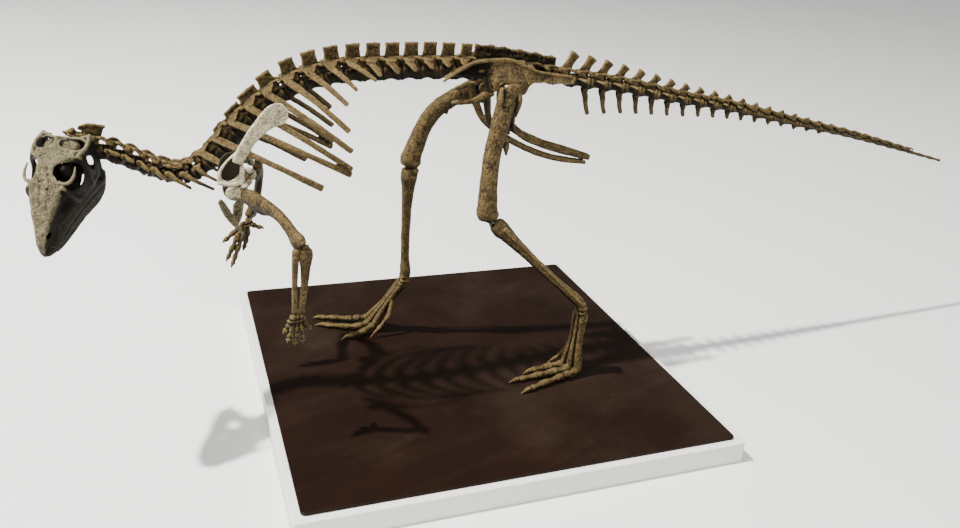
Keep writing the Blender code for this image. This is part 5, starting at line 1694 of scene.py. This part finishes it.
# %% A finish and what feeds it
class Finish:
    """A material with one Principled shader and short ways to add what feeds it."""

    def __init__(self, name, roughness):
        self.material = bpy.data.materials.new(name)
        self.material.use_nodes = True
        self.tree = self.material.node_tree
        self.shader = self.tree.nodes["Principled BSDF"]
        self.shader.inputs["Roughness"].default_value = roughness
        self.shader.inputs["Specular IOR Level"].default_value = 0.12
        self.place = self.node("ShaderNodeTexCoord", {}, {}).outputs["Object"]

    def node(self, kind, settings, inputs):
        """Any other node: its settings first, then its sockets' values or links."""
        made = self.tree.nodes.new(kind)
        for key, value in settings.items():
            setattr(made, key, value)
        for key, value in inputs.items():
            source = value.socket if isinstance(value, Value) else value
            if isinstance(source, bpy.types.NodeSocket):
                self.tree.links.new(source, made.inputs[key])
            else:
                made.inputs[key].default_value = source
        return made

    def noise(self, scale, detail, rough, place=None, warp=0):
        """Noise of so many grains to a metre, with detail that many halvings deep."""
        made = self.node("ShaderNodeTexNoise", {}, {
            "Vector": place or self.place, "Scale": scale, "Detail": detail, "Roughness": rough,
            "Distortion": warp})
        return Value(self.tree, made.outputs["Fac"])

    def cells(self, scale):
        """Distance to the nearest of many scattered points."""
        made = self.node("ShaderNodeTexVoronoi", {"feature": "F1"},
                         {"Vector": self.place, "Scale": scale})
        return Value(self.tree, made.outputs["Distance"])

    def kept(self, name):
        """A number that was kept with the mesh."""
        made = self.node("ShaderNodeAttribute", {"attribute_name": name}, {})
        return Value(self.tree, made.outputs["Fac"])

    def axis(self, name):
        """Distance along X, Y or Z, in metres."""
        parts = self.node("ShaderNodeSeparateXYZ", {}, {"Vector": self.place})
        return Value(self.tree, parts.outputs[name])

    def blend(self, share, first, second):
        """A colour between two others."""
        made = self.node("ShaderNodeMix", {"data_type": "RGBA"},
                         {"Factor": share, "A": first, "B": second})
        return made.outputs["Result"]

    def colour(self, source):
        """Link a colour to the shader."""
        self.tree.links.new(source, self.shader.inputs["Base Color"])

    def feed(self, name, value):
        """Link a number to one of the shader's sockets."""
        self.tree.links.new(value.socket, self.shader.inputs[name])

    def bump(self, height, distance, strength):
        """Fine relief, in metres, that only bends the light."""
        made = self.node("ShaderNodeBump", {}, {"Height": height, "Distance": distance,
                                                "Strength": strength})
        self.tree.links.new(made.outputs["Normal"], self.shader.inputs["Normal"])


print("shader helpers ready")

# %% [markdown]
# Fossil bone has taken its colour from the ground: khaki to olive brown, tan where it has
# been rubbed and almost black where dust and glue gather, with painted shade where little
# sky is seen. The skull and shoulder bones are paler and greyer, the shoulder bones partly
# by painted light. One recipe makes them all, with its colours given.

# %% Bone
def rgb(red, green, blue):
    """A colour as linear shares of light, with full alpha."""
    return (red, green, blue, 1)


def bone_finish(name, pit_and_shade, dark, body, tan, dust, stain_and_shade, blot_scale):
    """Dark and body colour in patches, then tan where proud, dust under the open sky, soil and
    painted shade where the kept darkening is above nought, and dirt in hollows and painted
    shade where little sky is seen, lessened as the kept value falls to minus one."""
    roughness = 0.58
    made = Finish(name, roughness)
    broad = made.noise(28, 3, 0.6)
    patches = made.noise(95, 4, 0.62)
    speckle = made.noise(620, 3, 0.7)
    blots = made.noise(blot_scale, 4, 0.72, None, 0.8)
    grit = made.noise(1500, 2, 0.6)
    pores = 1 - made.cells(700).ramp(0.05, 0.34)
    hollow, proud, sky = made.kept("hollow"), made.kept("proud"), made.kept("sky")
    shade = made.blend((broad * 0.4 + patches * 0.4 + blots * 0.4 - 0.1).ramp(0.38, 0.62),
                       dark, body)
    rubbed = ((patches * 0.3 + blots * 0.55 + speckle * 0.5 - 0.175).ramp(0.46, 0.6) * 0.75
              + proud * 0.6).held()
    shade = made.blend(rubbed, shade, tan)
    dusty = (made.noise(48, 4, 0.65).ramp(0.48, 0.7) * sky.ramp(0.3, 0.9) * 0.6).held()
    shade = made.blend(dusty, shade, dust)
    # Soil on the hip ridge, painted shade on the cheeks, jaws, backbone flanks and shoulder cups, and
    # a darker ilium dish.
    shade = made.blend(made.kept("stain_and_shade") * 0.95, shade, stain_and_shade)
    # Painted shade: faces turned down and faces under overhangs, where little sky is seen, go dark;
    # hollows, pores and low blots are the bone's own dark.
    dirt_and_painted_shade = (hollow.ramp(0.05, 0.45) * 0.92 + pores * 0.28 * patches.ramp(0.3, 0.6)
            + (0.42 - blots).ramp(0, 0.1) * 0.75
            + (0.48 - sky).ramp(0, 0.3) * 0.95).held() * made.kept("stain_and_shade").ramp(-1, 0)
    shade = made.blend(dirt_and_painted_shade, shade, pit_and_shade)
    made.colour(shade)
    made.feed("Roughness", (roughness + (speckle - 0.5) * 0.3 - proud * 0.1).held())
    height = patches * 0.35 + blots * 0.7 + speckle * 0.42 + grit * 0.14 - pores * 0.34
    made.bump(height, 0.0019, 1)
    return made.material


# Near-black brown for soil and for painted shade.
soil_and_shade_colour = rgb(0.0035, 0.0027, 0.0016)
bone = bone_finish("bone", rgb(0.002, 0.0014, 0.0007), rgb(0.009, 0.0055, 0.002),
                   rgb(0.034, 0.022, 0.007), rgb(0.165, 0.112, 0.042), rgb(0.12, 0.09, 0.042),
                   soil_and_shade_colour, 380)
pale_bone = bone_finish("pale_bone", rgb(0.003, 0.0024, 0.0012), rgb(0.02, 0.016, 0.007),
                        rgb(0.07, 0.058, 0.028), rgb(0.25, 0.212, 0.122),
                        rgb(0.16, 0.14, 0.082), soil_and_shade_colour, 500)
# A paler copy of the bone finish for the shoulder bones: partly their own paler tone, partly painted
# light.
pale_and_lit_bone = bone_finish("pale_and_lit_bone", rgb(0.018, 0.014, 0.008), rgb(0.17, 0.14, 0.085),
                         rgb(0.4, 0.345, 0.215), rgb(0.68, 0.61, 0.41), rgb(0.55, 0.5, 0.34),
                         soil_and_shade_colour, 380)
print("bone finishes:", bone.name, pale_bone.name, pale_and_lit_bone.name)

# %% [markdown]
# The board is painted white, with a faint roller texture and a little soil in faint smudges.
# The top sheet is a dark brown laminate that shows every smear of dust.

# %% Paint, sheet and floor
def paint_finish():
    """White paint, slightly mottled, with faint smudges and a roller's orange peel."""
    made = Finish("board_paint", 0.42)
    mottle = made.noise(9, 4, 0.6)
    smudges = made.noise(38, 4, 0.7).ramp(0.56, 0.8) * 0.25
    shade = made.blend(mottle, rgb(0.66, 0.655, 0.62), rgb(0.72, 0.715, 0.68))
    made.colour(made.blend(smudges, shade, rgb(0.62, 0.6, 0.55)))
    made.feed("Roughness", 0.36 + mottle * 0.16)
    made.bump(made.noise(900, 2, 0.5) + made.noise(260, 2, 0.5) * 0.6, 0.00012, 0.6)
    return made.material


def sheet_finish():
    """Dark laminate under dust: slanting wipes, clouds, specks and crumbs added together."""
    made = Finish("dark_sheet", 0.32)
    made.shader.inputs["Specular IOR Level"].default_value = 0.08
    x, y = made.axis("X"), made.axis("Y")
    turned = made.node("ShaderNodeCombineXYZ", {}, {"X": x * 0.9 + y * 0.4, "Y": (y - x * 0.45) * 4.5,
                                                    "Z": 0}).outputs["Vector"]
    wipes = made.noise(5, 5, 0.62, turned, 0.6)
    clouds = made.noise(4.2, 5, 0.6)
    specks = made.noise(420, 2, 0.5).ramp(0.66, 0.76)
    crumbs = made.noise(120, 3, 0.6).ramp(0.66, 0.74) * clouds.ramp(0.45, 0.65)
    dust = (wipes.ramp(0.5, 0.78) * 0.2 + clouds.ramp(0.5, 0.72) * 0.34
            + specks * 0.45 + crumbs * 0.4).held()
    ground = made.blend(made.noise(14, 4, 0.6), rgb(0.006, 0.003, 0.002),
                        rgb(0.013, 0.006, 0.0035))
    made.colour(made.blend(dust * 0.4, ground, rgb(0.066, 0.048, 0.034)))
    made.feed("Roughness", (0.36 + dust * 0.4).held())
    made.bump(specks * 0.6 + made.noise(1100, 2, 0.5) * 0.5, 0.0001, 0.6)
    return made.material


def tooth_finish():
    """Brown enamel in streaks, glossier than bone."""
    made = Finish("tooth", 0.34)
    streaks = made.noise(260, 3, 0.6)
    made.colour(made.blend(streaks.ramp(0.3, 0.7), rgb(0.05, 0.038, 0.02), rgb(0.17, 0.14, 0.085)))
    made.feed("Roughness", 0.24 + streaks * 0.2)
    return made.material


def floor_finish():
    """Pale grey, uneven by a few hundredths."""
    made = Finish("floor", 0.75)
    made.colour(made.blend(made.noise(1.2, 3, 0.5), rgb(0.75, 0.745, 0.73), rgb(0.79, 0.785, 0.77)))
    return made.material


board_paint, dark_sheet, tooth_surface = paint_finish(), sheet_finish(), tooth_finish()
print("finishes:", board_paint.name, dark_sheet.name, tooth_surface.name)

# %% [markdown]
# ## The pieces
# Everything is now put together, one piece for each bone or run of bones of the solid model.
# Runs of vertebrae are melted in lengths of a few bones, so that no mesh grows too large.

# %% Backbone
def run(name, first, last, voxel, rough, maker, more, stain_and_shade):
    """One piece from a run of vertebrae and what hangs on them."""
    skins = [skin for index in range(first, last) for skin in maker(index)]
    melted(name, skins + more, bone, voxel, rough, stain_and_shade)


def ribs_of(side):
    """Every rib of one side."""
    return [skin for index in range(NECK, NECK + CAGE) for skin in rib(index, side)]


# The backbone's flanks get painted shade, lifted on the ribs, wings and spine tops; the hip ridge
# gets blotches of soil.
run("neck_front", 0, 5, 0.8, 0.5, neck_bone, [], backbone_painted_shade)
run("neck_rear", 5, NECK, 0.8, 0.5, neck_bone, [], backbone_painted_shade)
run("rib_cage_left", NECK, NECK + CAGE, 0.95, 0.5, back_bone, ribs_of(LEFT), backbone_painted_shade)
melted("rib_cage_right", ribs_of(RIGHT), bone, 0.9, 0.45)
stubs = [loin_stub(index, side) for index in range(NECK + CAGE, HIP_START) for side in SIDES]
run("loin", NECK + CAGE, HIP_START, 0.95, 0.5, back_bone, stubs, backbone_painted_shade)
run("sacrum", HIP_START, TAIL_START, 1, 0.9, hip_bone, [], ridge_stain)
cuts = (TAIL_START, TAIL_START + 6, TAIL_START + 13, TAIL_START + 21, COLUMN_END)
for number, (first, last, voxel) in enumerate(zip(cuts, cuts[1:], (1, 0.9, 0.8, 0.64)), start=1):
    hung = range(max(first, TAIL_START + 1), min(last, TAIL_START + CHEVRONS))
    chevrons = [skin for index in hung for skin in chevron(index)]
    run("tail_" + str(number), first, last, voxel, 0.5, tail_bone, chevrons, backbone_painted_shade)
print("backbone pieces:", made_pieces)

# %% Head
# The cheeks get painted shade below the roof's edge, and the jaws and beak get painted shade all
# over.
melted("skull", skull_skins(), pale_bone, 0.88, 0.5, cheek_painted_shade)
for side, name in SIDES.items():
    melted("brow_rod_" + name, brow_skins(side), pale_bone, 0.45, 0.15)
    melted("jaw_" + name, jaw_skins(side), pale_bone, 0.75, 0.4, painted_shade_all_over)
    settle("lower_teeth_" + name, mesh_from("lower_teeth_" + name, lower_teeth(side)),
           ["jaw_" + name], tooth_surface)
melted("jaw_beak", beak_skins(), pale_bone, 0.6, 0.3, painted_shade_all_over)
settle("upper_teeth", mesh_from("upper_teeth", upper_teeth()), ["skull"], tooth_surface)
print("head pieces:", made_pieces[-9:])

# %% Limbs
for side, name in SIDES.items():
    # The shoulder blades get painted shade in their cups, and the shoulder bones a paler finish that
    # is partly painted light.
    melted("scapula_" + name, scapula_skins(side), pale_and_lit_bone, 0.7, 0.32,
           scapula_painted_shade(side))
    melted("coracoid_" + name, coracoid_skins(side), pale_and_lit_bone, 0.6, 0.32)
    melted("chest_plate_" + name, chest_plate_skins(side), pale_bone, 0.6, 0.28)
    for part, skins, voxel, rough in (
            ("humerus_", humerus_skins(side), 0.8, 0.5),
            ("radius_", forearm_skins(side, -6, (4.4, 3.5, 4)), 0.7, 0.4),
            ("ulna_", forearm_skins(side, 6, (8.2, 4.4, 4.4)), 0.7, 0.4),
            ("hand_", hand_skins(side), 0.5, 0.25), ("ilium_", ilium_skins(side), 0.95, 0.6),
            ("pubis_", pubis_skins(side), 0.85, 0.5), ("ischium_", ischium_skins(side), 0.85, 0.5),
            ("femur_", femur_skins(side), 1.1, 0.8), ("tibia_", tibia_skins(side), 1.05, 0.7),
            ("fibula_", fibula_skins(side), 0.8, 0.4), ("foot_", foot_skins(side), 0.85, 0.5)):
        # The ilium is darker in its dish and has a painted lit patch over and behind the hip joint.
        melted(part + name, skins, bone, voxel, rough,
               ilium_dish_and_painted_light if part == "ilium_" else None)
    for number in range(4):
        melted("toe_" + name + "_" + str(number + 1), toe_skins(side, number), bone,
               0.7, 0.35)
print("pieces so far:", len(made_pieces), "faces:", sum(count for _, count in made_pieces))

# %% [markdown]
# ## Board
# The board and its top sheet are made again with softened edges: a real one is sanded before
# it is painted, and the thin bright line along an edge is what makes it look solid. A profile
# is carried round a rounded square; a bevel modifier would give the same shape.

# %% Board and sheet
RING_POINTS = 64


def slab_mesh(name, side, corner, low, high, soft):
    """A rounded square stacked from rings; near each edge they draw in as a quarter circle."""
    turn = np.linspace(0, np.pi / 2, 6)
    inset = np.concatenate([soft * (1 - np.sin(turn)), soft * (1 - np.cos(turn))])
    height = np.concatenate([low + soft * (1 - np.cos(turn)), high - soft * (1 - np.sin(turn))])
    angle = np.linspace(0, 2 * np.pi, RING_POINTS, endpoint=False) + np.pi / RING_POINTS
    quarter = np.floor(angle / (np.pi / 2))
    middle = np.pi / 4 + quarter * np.pi / 2
    centre = np.stack([np.sign(np.cos(middle)), np.sign(np.sin(middle))], -1) * (side / 2 - corner)
    ring = (corner - inset)[:, None, None] * np.stack([np.cos(angle), np.sin(angle)], -1)
    grid = np.concatenate([centre + ring, np.repeat(height[:, None, None], RING_POINTS, 1)], -1)
    number = np.arange(len(grid) * RING_POINTS).reshape(-1, RING_POINTS)
    turned = np.roll(number, -1, axis=1)
    quads = np.stack([number[:-1], turned[:-1], turned[1:], number[1:]], -1).reshape(-1, 4)
    faces = quads.tolist() + [number[0][::-1].tolist(), number[-1].tolist()]
    mesh = bpy.data.meshes.new(name)
    mesh.from_pydata((grid.reshape(-1, 3) * MM).tolist(), [], faces)
    mesh.update()
    return mesh


board = settle("board_painted", slab_mesh("board", BOARD_SIDE, 2.2, 0, BOARD_HEIGHT, 1.6),
               ["base_board"], board_paint)
sheet = settle("sheet_dark", slab_mesh("sheet", SHEET_SIDE, SHEET_CORNER, BOARD_HEIGHT,
                                       SHEET_TOP, 0.9), ["base_sheet"], dark_sheet)
for flat in (board, sheet):
    normals = np.empty(len(flat.data.polygons) * 3, np.float32)
    flat.data.polygons.foreach_get("normal", normals)
    flat.data.polygons.foreach_set("use_smooth", np.abs(normals.reshape(-1, 3)[:, 2]) < 0.999)
print("board:", [round(v * 1000, 1) for v in board.dimensions], "mm")

# %% [markdown]
# ## Room, light and camera
# A pale floor reaches past the frame on every side. One lamp high on the left draws the form
# and throws the shadow of the skeleton across the board, a broad one in front fills the
# shadows, and a very wide sun stands for the pale ceiling, which keeps the far floor light.

# %% Floor and lamps
FLOOR_REACH = 40
floor_corners = np.array([(-1, -1, 0), (1, -1, 0), (1, 1, 0), (-1, 1, 0)]) * FLOOR_REACH
floor_mesh = bpy.data.meshes.new("floor")
floor_mesh.from_pydata(floor_corners.tolist(), [], [(0, 1, 2, 3)])
floor = bpy.data.objects.new("floor", floor_mesh)
floor_mesh.materials.append(floor_finish())
bpy.context.scene.collection.objects.link(floor)


def lamp(name, spot, target, size, power, colour):
    """A round area lamp, its diameter in metres and its power in watts, turned to a target."""
    light = bpy.data.lights.new(name, "AREA")
    light.shape, light.size, light.energy, light.color = "DISK", size, power, colour
    holder = bpy.data.objects.new(name, light)
    holder.location = spot
    holder.rotation_euler = (Vector(target) - Vector(spot)).to_track_quat("-Z", "Y").to_euler()
    bpy.context.scene.collection.objects.link(holder)


lamp("key", (-2.5, 0.06, 4.3), (0, 0, 0.3), 0.15, 680, (1, 0.985, 0.95))
lamp("fill", (-1.7, -3.2, 2.6), (0, 0, 0.3), 2.2, 130, (1, 0.98, 0.96))
ceiling = bpy.data.lights.new("ceiling", "SUN")
ceiling.energy, ceiling.angle = 1.6, np.radians(80)
ceiling_holder = bpy.data.objects.new("ceiling", ceiling)
ceiling_holder.rotation_euler = (np.radians(12), np.radians(-12), 0)
bpy.context.scene.collection.objects.link(ceiling_holder)
world = bpy.data.worlds.new("room")
world.use_nodes = True
world.node_tree.nodes["Background"].inputs["Color"].default_value = (1, 1, 1, 1)
world.node_tree.nodes["Background"].inputs["Strength"].default_value = 0.2
bpy.context.scene.world = world
print("lights:", [light.name for light in bpy.data.lights])

# %% Camera
CAMERA_SPOT = (-0.4106, -1.0761, 0.7034)
camera_data = bpy.data.cameras.new("camera")
camera_data.sensor_width, camera_data.lens = 36, 31.48
camera_data.clip_start, camera_data.clip_end = 0.05, 200
camera = bpy.data.objects.new("camera", camera_data)
right, over, ahead = ((0.93772, -0.34059, 0.06844), (0.07922, 0.40146, 0.91245),
                      (0.33825, 0.85019, -0.40343))
turn = Matrix((right, over, [-part for part in ahead])).transposed()
camera.matrix_world = Matrix.Translation(CAMERA_SPOT) @ turn.to_4x4()
bpy.context.scene.collection.objects.link(camera)
bpy.context.scene.camera = camera
print("camera at", [round(v, 3) for v in camera.location], "lens", camera_data.lens)

# %% [markdown]
# ## Size
# Bone surfaces swell and shrink by less than a millimetre, so the dressed skeleton stays
# about as large as its solids.
